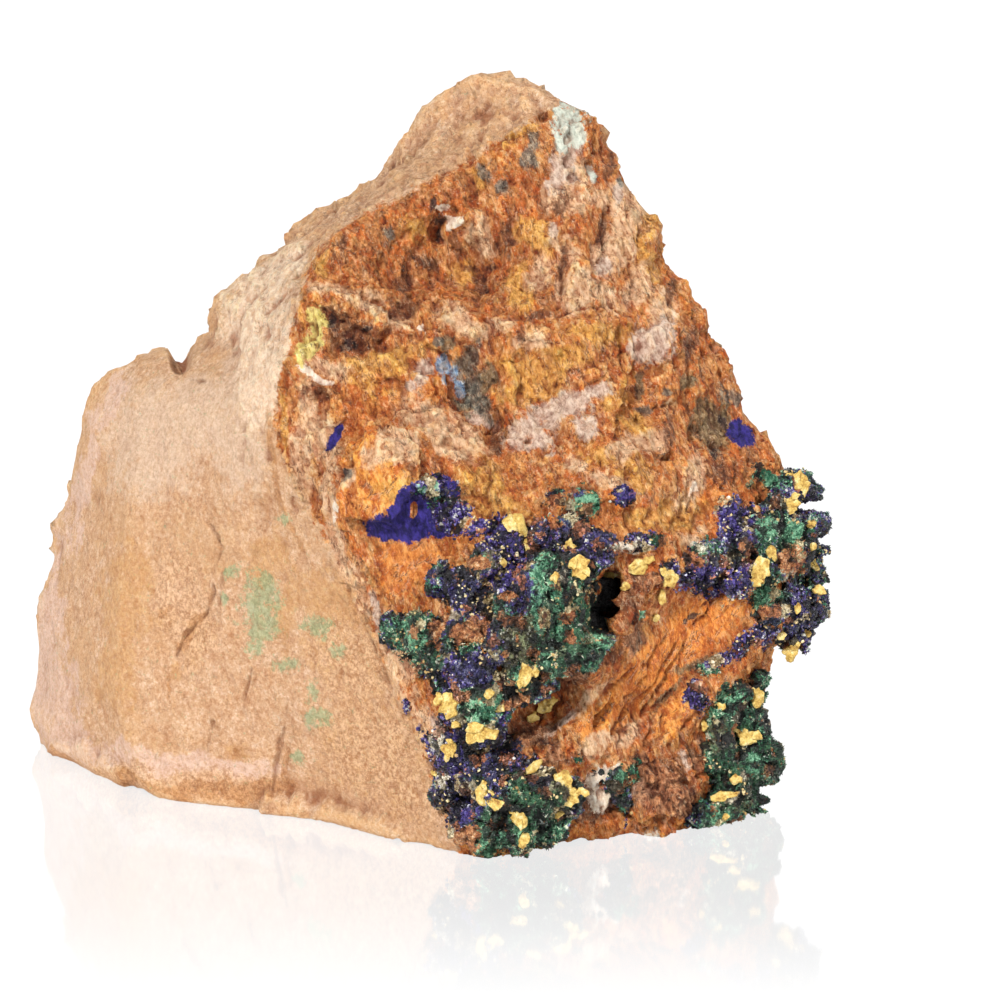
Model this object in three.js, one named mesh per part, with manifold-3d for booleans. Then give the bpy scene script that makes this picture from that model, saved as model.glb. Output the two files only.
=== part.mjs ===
// A malachite and azurite specimen: a loose chunk of iron-stained sandstone, tan on its weathered left
// side and ochre on its broken front, with crusts of malachite and azurite grown on the front and right.
//
// Millimetres, +Z up. The stone stands on its flat-broken underside. The view from the front looks
// along +Y, with +X to the right. The exported group's origin is the middle of its footprint.
import * as THREE from "three";
import { mergeVertices } from "three/addons/utils/BufferGeometryUtils.js";
import Module from "manifold-3d";

const wasm = await Module();
wasm.setup();

// ---------------------------------------------------------------- driving dimensions

const STONE_HEIGHT = 108; // the peak over the ground
const RING_STEP = 3; // between one level ring of the stone and the next
const CLEARANCE = 0.4; // a crust stands this far off the stone that it grew on
const FOOT_ROUNDING = 1.4; // how far the lowest ring is drawn in, where the underside's edge is chipped
const FOOT_RIM = 9; // the width of the flat rim that the stone stands on
const FOOT_HOLLOW = 1.8; // how far the underside rises inside that rim
const FULL_BOW_WIDTH = 14; // a face narrower than this bows out less than its full bow
const FRONT_ROUGHNESS = 1.2; // of the broken, stained front
const BACK_ROUGHNESS = 2.4; // of the back, which nothing has worn or stained
const SIDE_ROUGHNESS = 0.4; // of the weathered tan side
const FACET_SIZE = 12; // across one flat of a broken face
const FACET_SHARPNESS = 14; // how abruptly one flat gives way to the next
const AXIS = new THREE.Vector2(0, 40); // the upright line in the stone that bearings are taken from
const FOOT_MIDDLE = new THREE.Vector2(-14, 40); // of the underside
const PEAK = new THREE.Vector3(0, 46, STONE_HEIGHT);

// The edges of the stone run from the ground to the peak, and its faces are strung between them.
// Each point is [height, x, y], measured from the front corner of the foot.

const CORNER = [ // between the tan side and the stained front; high up it is the edge of the top facet
  [0, -4.4, 0], [8, -7, 2.5], [15, -10, 4], [24, -13.5, 6], [33.5, -17.5, 9], [42, -22, 12],
  [50, -28, 15], [58, -32, 18], [67, -31.5, 20], [75, -29.5, 22.5], [80, -27.5, 24],
  [88, -21.5, 29], [92, -13.5, 33], [95, -6, 36], [98, 1, 38], [103, 8.5, 40.8], [107, 1.5, 44.6],
];
const FRONT_LEFT = [ // where the lower front stands furthest forward
  [0, 3, -0.5], [10, 2, -1], [20, 1, -1], [28, 0, -1], [36, -2, 0], [44, -6, 4], [52, -10, 9],
  [60, -11, 13.5], [70, -10, 18.5], [80, -8, 24], [88, -5, 29], [95, 1.5, 35.5], [103, 10, 41], [107, 2.5, 45],
];
const FRONT_RIGHT = [
  [0, 20, 9], [8, 20, 7], [16, 20, 5], [28, 20, 4], [36, 20, 4], [44, 19, 7], [52, 18, 11],
  [60, 16, 16], [70, 14, 21], [80, 13, 27.5], [90, 12, 34], [98, 12, 39], [103, 12, 42], [107, 3, 45],
];
const RIGHT = [ // the outline on the right as it is seen from the front
  [0, 33, 13], [3, 36.5, 20], [8, 39, 25], [15, 40, 28], [21, 42, 30], [25, 45.5, 31],
  [30, 47, 32], [36, 46.5, 33], [42, 47, 34], [47, 46, 35], [52, 42.5, 36], [56, 39, 37], [59, 37, 38],
  [65, 35.3, 39], [72, 31.7, 40], [76, 28.7, 41], [80.5, 26.5, 42], [85, 24.7, 43], [88, 23.5, 43.5],
  [91.5, 19.6, 44], [95, 17.5, 44.5], [99, 16, 45], [103, 13.5, 45.3], [105, 8, 45.5], [107, 3.5, 45.5],
];
const BACK_RIGHT = [
  [0, 36, 50], [12, 39, 54], [30, 42, 57], [45, 39, 57], [56, 32, 56], [70, 24, 55], [85, 16, 54],
  [95, 12, 53], [103, 8, 50], [107, 3, 47.5],
];
const BACK = [
  [0, 6, 76], [15, 8, 81], [32, 6, 83], [48, 2, 80], [62, 0, 76], [75, -1, 71], [88, 0, 65],
  [97, 1, 59], [103, 1, 54], [107, 1, 48.5],
];
const BACK_LEFT = [
  [0, -48, 76], [12, -52, 80], [28, -52, 80], [44, -48, 76], [56, -44, 71], [63, -38, 68],
  [72, -29, 64], [84, -19, 60], [95, -9, 56], [103, -4, 52.5], [107, -1, 48],
];
const LEFT = [ // the outline on the left as it is seen from the front
  [0, -71.5, 52], [6, -73.5, 55], [12, -73.2, 56], [20, -71.8, 56], [26, -70, 56], [33.5, -68.5, 55],
  [41, -65.6, 54], [49.5, -64, 53], [56, -62.2, 52], [60, -58.7, 51], [63, -54.9, 50], [64.6, -49.4, 48],
  [66.4, -43.8, 45], [72, -43, 45], [76.5, -38.3, 45], [80, -34, 46], [84.7, -30.2, 47], [87.2, -25, 48],
  [91, -19.6, 49], [95.6, -16, 50], [101.5, -11.6, 50], [105, -8, 49], [107, -3.5, 47],
];
const SHOULDER = [ // where the tan side turns away towards the outline on the left
  [0, -52, 25.5], [8, -55, 27.5], [16, -57, 30], [30, -56, 32], [44.5, -54.8, 35], [55, -53, 37],
  [60.5, -51.8, 39], [65, -48.5, 42], [68, -42, 40], [73.5, -40.3, 41], [78, -35.6, 42], [83.5, -30, 44],
  [87, -23.4, 45], [91, -18.6, 46], [95.3, -15, 47], [101.3, -10.6, 47.5], [105, -7, 46.8], [107, -3, 46],
];
const SIDE_MIDDLE = [ // down the middle of the tan side, which is a little hollow near the ground
  [0, -27, 17.5], [8, -30, 18], [20, -34.5, 19], [45, -39.7, 24], [60, -42, 28.2], [67, -36.8, 29.5],
  [75, -34, 31.8], [80, -29.5, 33.4], [88, -22, 37], [95, -10.5, 41], [103, 0.5, 43.5], [107, -0.5, 45],
];

// The faces in turn, anticlockwise from above: each runs from one edge to the next in so many columns,
// bows out in its middle, and is as rough as its rock.
const FACES = [
  { from: CORNER, to: FRONT_LEFT, columns: 9, bow: 1, rough: FRONT_ROUGHNESS },
  { from: FRONT_LEFT, to: FRONT_RIGHT, columns: 9, bow: 0.5, rough: FRONT_ROUGHNESS },
  { from: FRONT_RIGHT, to: RIGHT, columns: 9, bow: 1.5, rough: FRONT_ROUGHNESS },
  { from: RIGHT, to: BACK_RIGHT, columns: 4, bow: 0.8, rough: BACK_ROUGHNESS },
  { from: BACK_RIGHT, to: BACK, columns: 6, bow: 1.5, rough: BACK_ROUGHNESS },
  { from: BACK, to: BACK_LEFT, columns: 6, bow: 1.5, rough: BACK_ROUGHNESS },
  { from: BACK_LEFT, to: LEFT, columns: 4, bow: 1.5, rough: BACK_ROUGHNESS },
  { from: LEFT, to: SHOULDER, columns: 4, bow: 0.8, rough: SIDE_ROUGHNESS },
  { from: SHOULDER, to: SIDE_MIDDLE, columns: 4, bow: 0, rough: SIDE_ROUGHNESS },
  { from: SIDE_MIDDLE, to: CORNER, columns: 4, bow: 0, rough: SIDE_ROUGHNESS },
];

// The hollows and lumps of the front. Each one's middle is [x, y, z]; it reaches so far along the face
// and up it, is turned by so many degrees anticlockwise, and stands out or sinks in by its depth. A flat
// one has the same depth nearly to its rim.
const ALONG_FRONT = new THREE.Vector2(0.94, 0.34);
const RELIEF = [
  { at: [-6, 25, 83], reach: [15, 9], turn: 35, depth: -4.5 }, // the brown hollow under the top facet
  { at: [-23, 22, 77], reach: [9, 4], turn: -10, depth: 2.4 }, // the pale ledge under it, in three parts
  { at: [-9, 20, 73], reach: [10, 4.5], turn: -25, depth: 2.8 },
  { at: [9, 22, 72.5], reach: [12, 4.5], turn: 0, depth: 2.6 },
  { at: [-4, 17.5, 67], reach: [5, 8], turn: 20, depth: -4.2 }, // the blue-grey pocket
  { at: [1, 14, 60], reach: [4.5, 7], turn: 20, depth: -2 }, // the groove that runs down from it
  { at: [-13, 12.7, 58], reach: [7, 6], turn: 0, depth: 1.6 },
  { at: [-17, 11, 53], reach: [8, 7.5], turn: 20, depth: 2.6, flat: true }, // the amber lump
  { at: [-12, 8, 47], reach: [9, 4], turn: -5, depth: -1.6 },
  { at: [10, 18, 66], reach: [9, 6], turn: 0, depth: -1.8 }, // the ochre pan
  { at: [25, 29.7, 70], reach: [5, 6.5], turn: -15, depth: 1.8, flat: true }, // the pale scar
  { at: [17, 14, 55], reach: [14, 8], turn: 0, depth: 2.2 }, // the belly over the crystals
  { at: [7.5, 0, 22], reach: [12, 6.5], turn: 20, depth: -8 }, // the brown recess under the mound
  { at: [17, 4, 37], reach: [4.5, 8.5], turn: -12, depth: -9 }, // the deep hole beside it
  { at: [26, 8, 26], reach: [17, 12], turn: 40, depth: -4.2, flat: true }, // the orange cleavage plane
  { at: [16, 5, 8], reach: [7, 6], turn: 0, depth: -3 }, // the pale pocket at the foot
  { at: [26, 11, 5], reach: [8, 6], turn: 0, depth: 3.6 }, // the brown lump at the foot
  { at: [7.6, 1.9, 38], reach: [12, 10], turn: 0, depth: 2.5 }, // under the malachite mound
  { at: [45, 31, 37], reach: [9, 14], turn: 0, depth: 1.5 }, // under the crust on the right
];

// The crack that parts the tan side's low shoulder from the rest, cut in as a wedge: its tip is at [x, y, z],
// its left wall is steep, and it opens to its width at its depth over the tip.
const CRACK = { at: [-48, 46, 62.2], width: 7.4, depth: 6, length: 28 };

// What has grown on the stone. A lump is [bearing, height, radius, lift]: so many degrees round from the
// front, so far up, and how far its middle stands off the stone. A flake is [bearing, height, length,
// width], and lies on the lumps under it.
const CRUSTS = {
  front_crust: {
    colour: 0x1f7a52,
    lumps: [
      // the malachite mound
      [15, 38.5, 5.6, 1.5], [20.5, 39.5, 4.8, 1], [8, 39.5, 5, 1], [11, 33.5, 5.6, 1.6], [18, 33.5, 5, 1.5],
      [4, 34, 4.6, 1], [8, 28.5, 4.6, 0.8],
      // the azurite over it and to its left
      [-7, 40.5, 4, 0], [-1, 43, 3.8, 0], [5, 45, 3.6, 0], [-4, 36.5, 4, 0], [-11.5, 41, 3, 0],
      [12, 46, 3.6, 0], [18, 47, 3.2, 0], [24, 45, 3, 0.2], [10, 43, 3.4, 0], [17, 43.5, 3.2, 0.4],
      // the small lobe by the corner
      [-21, 33, 3.4, 0.4], [-15, 33, 4, 0.8], [-12, 29.5, 3.6, 0.6], [-9, 34, 3.6, 0.2],
      // the neck down to the foot
      [-4, 29.5, 4, 0], [0, 25, 4, 0.2], [5, 25.5, 3, 0.2], [-7, 24, 3.6, 0], [-3, 20, 4, 0.2],
      // the foot
      [-7, 15.5, 4.4, 0.2], [-8, 10.5, 4, 0], [-1, 13, 4.6, 0.8], [4, 10, 4.6, 1], [10, 10.5, 4.4, 1],
      [15, 8, 4, 0.6], [-3, 6, 4.2, 0.2], [5, 4.5, 4.2, 0.8], [12, 4, 3.6, 0.6],
    ],
    flakes: [
      [8, 47, 3, 4.6], [20, 41.5, 3, 4], [6, 28.5, 2.6, 4], [-2, 19.5, 4.6, 2.8], [16, 10, 4, 5],
      [0, 9.5, 4.4, 4], [-8, 23.5, 3.4, 3.6], [6, 4.5, 3, 5],
    ],
  },
  right_crust: {
    colour: 0x2c2f7c,
    lumps: [
      [82, 46, 3.8, 0.6], [83, 40, 4.4, 0.8], [84, 34.5, 4.4, 1], [81, 29.5, 4.2, 1], [78, 25, 3.6, 0.6],
      [75, 43, 4.4, 0.2], [75, 37, 4.6, 0.4], [74, 31, 4.4, 0.2], [68, 42.5, 4.2, 0], [67, 37, 4.2, 0.2],
      [61, 42, 4, 0], [60, 37, 4, 0], [54, 40.5, 3.8, 0], [48, 40.5, 3, 0], [67, 32, 3.8, 0],
    ],
    flakes: [
      [84, 47, 4.6, 6], [70, 37.5, 4, 5], [48, 40.5, 2.6, 2.8], [78, 24, 2.8, 3],
    ],
  },
  right_cluster: {
    colour: 0x1c6a48,
    lumps: [
      [63, 17.5, 3.6, 0.4], [66, 14, 3.6, 0.6], [58, 14, 3.4, 0], [69, 12, 3.8, 1.2], [67, 8.5, 4.4, 2], [70, 6.5, 3.8, 3.4], [60, 5, 4.4, 1.6],
      [63, 2.6, 3.8, 2.6], [55, 2, 4, 1.6], [57, 9.5, 4, 0.4], [72, 17, 3, 1], [50, 1.5, 3, 0.8],
    ],
    flakes: [[66, 10, 3.4, 2.8], [57, 4.5, 4.4, 2.8], [73, 15.5, 2.6, 4]],
  },
  malachite_tuft: {
    colour: 0x1f7a52,
    lumps: [[27.5, 11, 2.1, 0.3], [29, 8.8, 2.3, 0.5], [31, 6.6, 2, 0.3]],
    flakes: [],
  },
};
const LUMP_FLATNESS = 0.8; // how thick a lump is, out from the stone, as a part of its width
const LUMP_ROUGHNESS = 0.2; // a lump's knobs, as a part of its radius
const FINE_LUMP = 4.7; // lumps from this radius up have four faces where the smaller ones have one
const FLAKE_THICKNESS = 2.2;

// ---------------------------------------------------------------- noise

// A repeatable number from 0 to 1 for each cell of a lattice.
function chance(x, y, z, salt = 0) {
  const s = Math.sin(x * 127.1 + y * 311.7 + z * 74.7 + salt * 53.3) * 43758.5453;
  return s - Math.floor(s);
}

const smooth = (t) => t * t * (3 - 2 * t);

// Smooth noise from -1 to 1 that varies over about one unit.
function noise(p, salt = 0) {
  const [i, j, k] = [Math.floor(p.x), Math.floor(p.y), Math.floor(p.z)];
  const [u, v, w] = [smooth(p.x - i), smooth(p.y - j), smooth(p.z - k)];
  const { lerp } = THREE.MathUtils;
  const edge = (b, c) => lerp(chance(i, b, c, salt), chance(i + 1, b, c, salt), u);
  return lerp(lerp(edge(j, k), edge(j + 1, k), v), lerp(edge(j, k + 1), edge(j + 1, k + 1), v), w) * 2 - 1;
}

// The height of a broken face made of tilted flats: each cell of rock has a slope of its own, and the
// cells run together over a short way.
function facets(p, size) {
  const q = p.clone().divideScalar(size);
  const cell = q.clone().floor();
  let sum = 0;
  let weights = 0;
  for (let i = -1; i <= 1; i++)
    for (let j = -1; j <= 1; j++)
      for (let k = -1; k <= 1; k++) {
        const c = cell.clone().add(new THREE.Vector3(i, j, k));
        const seed = (salt) => chance(c.x, c.y, c.z, salt);
        const away = q.clone().sub(new THREE.Vector3(seed(1), seed(2), seed(3)).add(c));
        const slope = new THREE.Vector3(seed(4), seed(5), seed(6)).subScalar(0.5).multiplyScalar(1.6);
        const weight = Math.exp(-FACET_SHARPNESS * away.lengthSq());
        weights += weight;
        sum += weight * (away.dot(slope) + seed(7) - 0.5);
      }
  return sum / weights;
}

// ---------------------------------------------------------------- the stone

// The place on an edge at a height.
function onEdge(edge, z) {
  const upper = Math.max(1, edge.findIndex(([height]) => height >= z));
  const above = z > edge.at(-1)[0] ? edge.length - 1 : upper;
  const [z0, x0, y0] = edge[above - 1];
  const [z1, x1, y1] = edge[above];
  const t = THREE.MathUtils.clamp((z - z0) / (z1 - z0), 0, 1);
  return new THREE.Vector2(x0 + (x1 - x0) * t, y0 + (y1 - y0) * t);
}

// One level ring of the stone, as the points where its faces cross a height.
function ring(z) {
  const points = [];
  for (const { from, to, columns, bow } of FACES) {
    const a = onEdge(from, z);
    const b = onEdge(to, z);
    const along = b.clone().sub(a);
    const out = new THREE.Vector2(along.y, -along.x).normalize();
    const bulge = bow * Math.min(1, along.length() / FULL_BOW_WIDTH);
    for (let i = 0; i < columns; i++) {
      const t = i / columns;
      const p = a.clone().addScaledVector(along, t).addScaledVector(out, bulge * Math.sin(Math.PI * t));
      points.push(new THREE.Vector3(p.x, p.y, z));
    }
  }
  return points;
}

// The roughness of each column, eased from face to face.
function roughnessOfColumns() {
  const each = FACES.flatMap(({ columns, rough }) => Array(columns).fill(rough));
  return each.map((rough, i) => (rough + each.at(i - 1)) / 2);
}

// A ring drawn in towards the middle of the foot by a distance and set at a height.
function drawnIn(points, distance, z) {
  return points.map((p) => {
    const inward = FOOT_MIDDLE.clone().sub(p).setLength(distance);
    return new THREE.Vector3(p.x + inward.x, p.y + inward.y, z);
  });
}

// How far the front stands out at a point, in all its hollows and lumps.
function relief(p) {
  let sum = 0;
  for (const { at, reach, turn, depth, flat } of RELIEF) {
    const [dx, dy, dz] = [p.x - at[0], p.y - at[1], p.z - at[2]];
    if (Math.abs(dy) > 22) continue;
    const along = dx * ALONG_FRONT.x + dy * ALONG_FRONT.y;
    const angle = THREE.MathUtils.degToRad(turn);
    const u = (along * Math.cos(angle) + dz * Math.sin(angle)) / reach[0];
    const v = (dz * Math.cos(angle) - along * Math.sin(angle)) / reach[1];
    const r = Math.hypot(u, v);
    if (r >= 1) continue;
    sum += depth * (flat ? smooth(Math.min(1, (1 - r) / 0.4)) : (1 - r * r) ** 2);
  }
  return sum;
}

function closedGeometry(positions, index) {
  const geometry = new THREE.BufferGeometry().setFromPoints(positions);
  geometry.setIndex(index);
  geometry.computeVertexNormals();
  return geometry;
}

// The stone's skin: rings from the ground up to the peak, and more rings across the underside.
function stoneGeometry() {
  const outer = [];
  for (let z = RING_STEP; z < STONE_HEIGHT - 1.5; z += RING_STEP) outer.push(ring(z));
  outer.push(ring(STONE_HEIGHT - 1));
  const foot = ring(0);
  const under = [
    drawnIn(foot, FOOT_RIM * 2.2, FOOT_HOLLOW),
    drawnIn(foot, FOOT_RIM, 0),
    drawnIn(foot, FOOT_ROUNDING, 0),
  ];
  const rings = [...under, ...outer];
  const columns = foot.length;
  const positions = rings.flat();
  const peak = positions.length;
  positions.push(PEAK);
  const middle = positions.length;
  positions.push(new THREE.Vector3(FOOT_MIDDLE.x, FOOT_MIDDLE.y, FOOT_HOLLOW));
  const index = [];
  for (let j = 0; j + 1 < rings.length; j++)
    for (let i = 0; i < columns; i++) {
      const [a, b] = [j * columns + i, j * columns + ((i + 1) % columns)];
      index.push(a, b, b + columns, a, b + columns, a + columns);
    }
  const top = (rings.length - 1) * columns;
  for (let i = 0; i < columns; i++) {
    index.push(top + i, top + ((i + 1) % columns), peak);
    index.push((i + 1) % columns, i, middle);
  }
  const geometry = closedGeometry(positions, index);

  // The faces are then broken up. The rim that the stone stands on stays flat.
  const normals = geometry.attributes.normal;
  const rough = roughnessOfColumns();
  const first = under.length * columns;
  for (let i = first; i < peak; i++) {
    const p = positions[i];
    const out = new THREE.Vector3().fromBufferAttribute(normals, i);
    const depth = rough[i % columns] * (facets(p, FACET_SIZE) + 0.5 * noise(p.clone().divideScalar(4), 1));
    const front = i % columns < FACES[0].columns + FACES[1].columns + FACES[2].columns;
    const fade = THREE.MathUtils.clamp((STONE_HEIGHT - p.z) / 12, 0.25, 1);
    p.addScaledVector(out, depth * fade + (front ? relief(p) : 0));
  }
  return closedGeometry(positions, index);
}

// ---------------------------------------------------------------- solids

// The solid inside a closed skin.
function solidOf(geometry) {
  const skin = geometry.clone();
  for (const name of ["normal", "uv"]) skin.deleteAttribute(name);
  const merged = mergeVertices(skin, 1e-4);
  const mesh = new wasm.Mesh({
    numProp: 3,
    vertProperties: new Float32Array(merged.attributes.position.array),
    triVerts: new Uint32Array(merged.index.array),
  });
  return new wasm.Manifold(mesh);
}

function geometryOf(solid) {
  const { vertProperties, triVerts } = solid.getMesh();
  const geometry = new THREE.BufferGeometry();
  geometry.setAttribute("position", new THREE.BufferAttribute(new Float32Array(vertProperties), 3));
  geometry.setIndex(new THREE.BufferAttribute(new Uint32Array(triVerts), 1));
  geometry.computeVertexNormals();
  return geometry;
}

// A skin moved outwards all over by a distance.
function inflated(geometry, distance) {
  const grown = geometry.clone();
  const { position, normal } = grown.attributes;
  for (let i = 0; i < position.count; i++) {
    const p = new THREE.Vector3().fromBufferAttribute(position, i);
    p.addScaledVector(new THREE.Vector3().fromBufferAttribute(normal, i), distance);
    position.setXYZ(i, p.x, p.y, p.z);
  }
  return grown;
}

// The wedge that cuts the crack in the tan side.
function crackGeometry({ at, width, depth, length }) {
  const wedge = new THREE.Shape();
  wedge.moveTo(0, 0);
  wedge.lineTo(width * 0.75, depth);
  wedge.lineTo(-width * 0.25, depth);
  wedge.closePath();
  const geometry = new THREE.ExtrudeGeometry(wedge, { depth: length, bevelEnabled: false });
  geometry.rotateX(Math.PI / 2);
  geometry.translate(at[0], at[1] + length / 2, at[2]);
  return geometry;
}

// ---------------------------------------------------------------- the crusts

const raycaster = new THREE.Raycaster();

// The place on the stone at a bearing and a height, and the way out from it.
function onStone(stone, bearing, z) {
  const angle = THREE.MathUtils.degToRad(bearing);
  const out = new THREE.Vector3(Math.sin(angle), -Math.cos(angle), 0);
  const start = new THREE.Vector3(AXIS.x, AXIS.y, z).addScaledVector(out, 200);
  raycaster.set(start, out.clone().negate());
  return { at: raycaster.intersectObjects([stone].flat())[0].point, out };
}

// One lump of crystals, knobbly all over.
function lumpGeometry(at, out, radius) {
  const ball = new THREE.IcosahedronGeometry(radius, radius < FINE_LUMP ? 0 : 1);
  const lump = mergeVertices(ball.deleteAttribute("uv").deleteAttribute("normal"));
  const { position } = lump.attributes;
  for (let i = 0; i < position.count; i++) {
    const p = new THREE.Vector3().fromBufferAttribute(position, i);
    const knob = chance(p.x + at.x, p.y + at.y, p.z + at.z) - 0.5;
    p.addScaledVector(out, p.dot(out) * (LUMP_FLATNESS - 1));
    p.multiplyScalar(1 + knob * 2 * LUMP_ROUGHNESS).add(at);
    position.setXYZ(i, p.x, p.y, Math.max(p.z, 0));
  }
  return lump;
}

// One flake: a thin block with chipped corners, lying on what is under it.
function flakeGeometry(at, out, length, width) {
  const block = new THREE.BoxGeometry(length, FLAKE_THICKNESS, width).deleteAttribute("uv").deleteAttribute("normal");
  const flake = mergeVertices(block);
  const facing = new THREE.Object3D();
  facing.up.set(0, 0, 1);
  facing.lookAt(out);
  facing.rotateX(Math.PI / 2);
  facing.rotateY(chance(at.x, at.y, at.z) * Math.PI);
  facing.rotateX((chance(at.y, at.z, at.x) - 0.5) * 0.8);
  facing.position.copy(at);
  facing.updateMatrix();
  const { position } = flake.attributes;
  for (let i = 0; i < position.count; i++) {
    const p = new THREE.Vector3().fromBufferAttribute(position, i);
    p.multiplyScalar(1 - 0.35 * chance(p.x + at.x, p.y, p.z + at.z)).applyMatrix4(facing.matrix);
    position.setXYZ(i, p.x, p.y, Math.max(p.z, 0));
  }
  return flake;
}

// A crust: its lumps and flakes grown together, cut back to clear the stone.
function crust(stone, stoneWithClearance, { lumps, flakes }) {
  const lumpSkins = lumps.map(([bearing, height, radius, lift]) => {
    const { at, out } = onStone(stone, bearing, height);
    return lumpGeometry(at.addScaledVector(out, lift), out, radius);
  });
  const ground = [stone, ...lumpSkins.map((skin) => new THREE.Mesh(skin))];
  const flakeSkins = flakes.map(([bearing, height, length, width]) => {
    const { at, out } = onStone(ground, bearing, height);
    return flakeGeometry(at, out, length, width);
  });
  const grown = [...lumpSkins, ...flakeSkins].map(solidOf).reduce((all, next) => all.add(next));
  const bodies = grown.subtract(stoneWithClearance).decompose();
  return bodies.reduce((largest, body) => (body.volume() > largest.volume() ? body : largest));
}

// ---------------------------------------------------------------- the specimen

function finish(color) {
  return new THREE.MeshStandardMaterial({ color, roughness: 0.85, metalness: 0 });
}

const whole = stoneGeometry();
const stone = new THREE.Mesh(geometryOf(solidOf(whole).subtract(solidOf(crackGeometry(CRACK)))), finish(0xc98f5c));
stone.name = "matrix_rock";
const stoneWithClearance = solidOf(inflated(whole, CLEARANCE));

const specimen = new THREE.Group();
specimen.add(stone);
for (const [name, growth] of Object.entries(CRUSTS)) {
  const mesh = new THREE.Mesh(geometryOf(crust(stone, stoneWithClearance, growth)), finish(growth.colour));
  mesh.name = name;
  specimen.add(mesh);
}

// The origin is the middle of the footprint, on the ground.
const box = new THREE.Box3().setFromObject(specimen);
const centre = box.getCenter(new THREE.Vector3());
specimen.position.set(-centre.x, -centre.y, -box.min.z);

export default specimen;
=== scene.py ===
import itertools
import math

import bpy
import numpy as np
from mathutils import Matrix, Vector
from mathutils.bvhtree import BVHTree


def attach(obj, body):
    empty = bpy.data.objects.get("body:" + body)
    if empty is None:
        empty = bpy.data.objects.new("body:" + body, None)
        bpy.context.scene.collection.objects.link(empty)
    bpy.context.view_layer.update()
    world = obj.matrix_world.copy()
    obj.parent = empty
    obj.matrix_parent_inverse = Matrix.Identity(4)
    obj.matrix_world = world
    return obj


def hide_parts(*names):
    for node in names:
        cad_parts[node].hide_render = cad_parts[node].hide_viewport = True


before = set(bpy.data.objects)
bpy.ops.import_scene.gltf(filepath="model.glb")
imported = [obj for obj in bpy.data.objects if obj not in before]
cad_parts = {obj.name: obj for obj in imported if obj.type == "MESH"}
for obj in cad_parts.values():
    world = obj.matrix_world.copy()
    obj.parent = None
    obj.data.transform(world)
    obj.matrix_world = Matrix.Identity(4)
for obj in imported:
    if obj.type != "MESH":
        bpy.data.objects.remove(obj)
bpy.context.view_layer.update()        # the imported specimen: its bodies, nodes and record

MM = 0.001

# ---------------------------------------------------------------- the camera

# Places on the front are named as the camera sees them, in pixels of its square picture, and are
# then found on the specimen itself.
PICTURE = 1000
SENSOR = 36
LENS = 144
FOCAL = PICTURE * LENS / SENSOR
FRONT_CORNER = np.array([11.01, -38.21, 0]) * MM  # where the stone's front edge meets the ground
AIM = FRONT_CORNER + np.array([1.166, 30, 45.973]) * MM
DISTANCE = 600 * MM
ELEVATION = math.radians(15)
FORWARD = np.array([0, math.cos(ELEVATION), -math.sin(ELEVATION)])
RIGHTWARD = np.array([1.0, 0, 0])
UPWARD = np.array([0, math.sin(ELEVATION), math.cos(ELEVATION)])
CAMERA_AT = AIM - FORWARD * DISTANCE
PIXEL = DISTANCE / FOCAL  # the width of one pixel at the specimen


def add_camera():
    bpy.ops.object.camera_add(location=CAMERA_AT, rotation=(math.pi / 2 - ELEVATION, 0, 0))
    camera = bpy.context.object
    camera.data.lens = LENS
    camera.data.sensor_width = SENSOR
    camera.data.clip_start = 10 * MM
    bpy.context.scene.camera = camera


def in_picture(points):
    """Where points are in the picture, across and down in pixels, and how far along the view."""
    away = points - CAMERA_AT
    depth = away @ FORWARD
    across = PICTURE / 2 + FOCAL * (away @ RIGHTWARD) / depth
    down = PICTURE / 2 - FOCAL * (away @ UPWARD) / depth
    return across, down, depth


def ray_through(across, down):
    way = FORWARD * FOCAL + RIGHTWARD * (across - PICTURE / 2) - UPWARD * (down - PICTURE / 2)
    return Vector(CAMERA_AT), Vector(way / np.linalg.norm(way))


# ---------------------------------------------------------------- noise in space


def hashed(cells, salt):
    """A repeatable number from 0 to 1 for each whole-numbered cell of space."""
    n = cells[:, 0] * 73856093 ^ cells[:, 1] * 19349663 ^ cells[:, 2] * 83492791 ^ salt * 40503
    n = (n ^ (n >> 13)) * 1274126177
    n = (n ^ (n >> 15)) * 668265263
    return ((n ^ (n >> 16)) & 0xFFFFFF) / 0xFFFFFF


def noise(points, size, salt=0):
    """Smooth noise from -1 to 1 that varies over about one size."""
    q = points / size
    cell = np.floor(q).astype(np.int64)
    t = q - cell
    t = t * t * (3 - 2 * t)
    total = np.zeros(len(points))
    for corner in itertools.product((0, 1), repeat=3):
        weight = np.prod(np.where(corner, t, 1 - t), axis=1)
        total += weight * hashed(cell + corner, salt)
    return total * 2 - 1


def fractal(points, size, octaves, salt=0):
    return sum(noise(points, size / 2**i, salt + i) / 2**i for i in range(octaves))


def warped(points, amount, size, octaves, salt, step=5):
    """Points that are pushed about by noise."""
    push = [fractal(points, size, octaves, salt + step * k) for k in range(3)]
    return points + amount * np.stack(push, 1)


def chips(points, size, salt):
    """Scoops from 0 to 1 with sharp ridges between them, and the tilted flats of the same cells."""
    q = points / size
    cell = np.floor(q).astype(np.int64)
    nearest = np.full(len(q), np.inf)
    flat = np.zeros(len(q))
    for corner in itertools.product((-1, 0, 1), repeat=3):
        c = cell + corner
        away = q - c - np.stack([hashed(c, salt + k) for k in range(3)], 1)
        slope = np.stack([hashed(c, salt + 3 + k) for k in range(3)], 1) - 0.5
        reach = (away**2).sum(1)
        closer = reach < nearest
        flat = np.where(closer, 2 * (away * slope).sum(1), flat)
        nearest = np.where(closer, reach, nearest)
    return np.minimum(nearest, 1), flat


def along_grain(points, degrees, stretch):
    """Points squeezed along a line in the picture, so that noise on them is drawn out along it."""
    turn = math.radians(degrees)
    grain = RIGHTWARD * math.cos(turn) + UPWARD * math.sin(turn)
    return points - np.outer(points @ grain, grain) * (1 - 1 / stretch)


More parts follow.
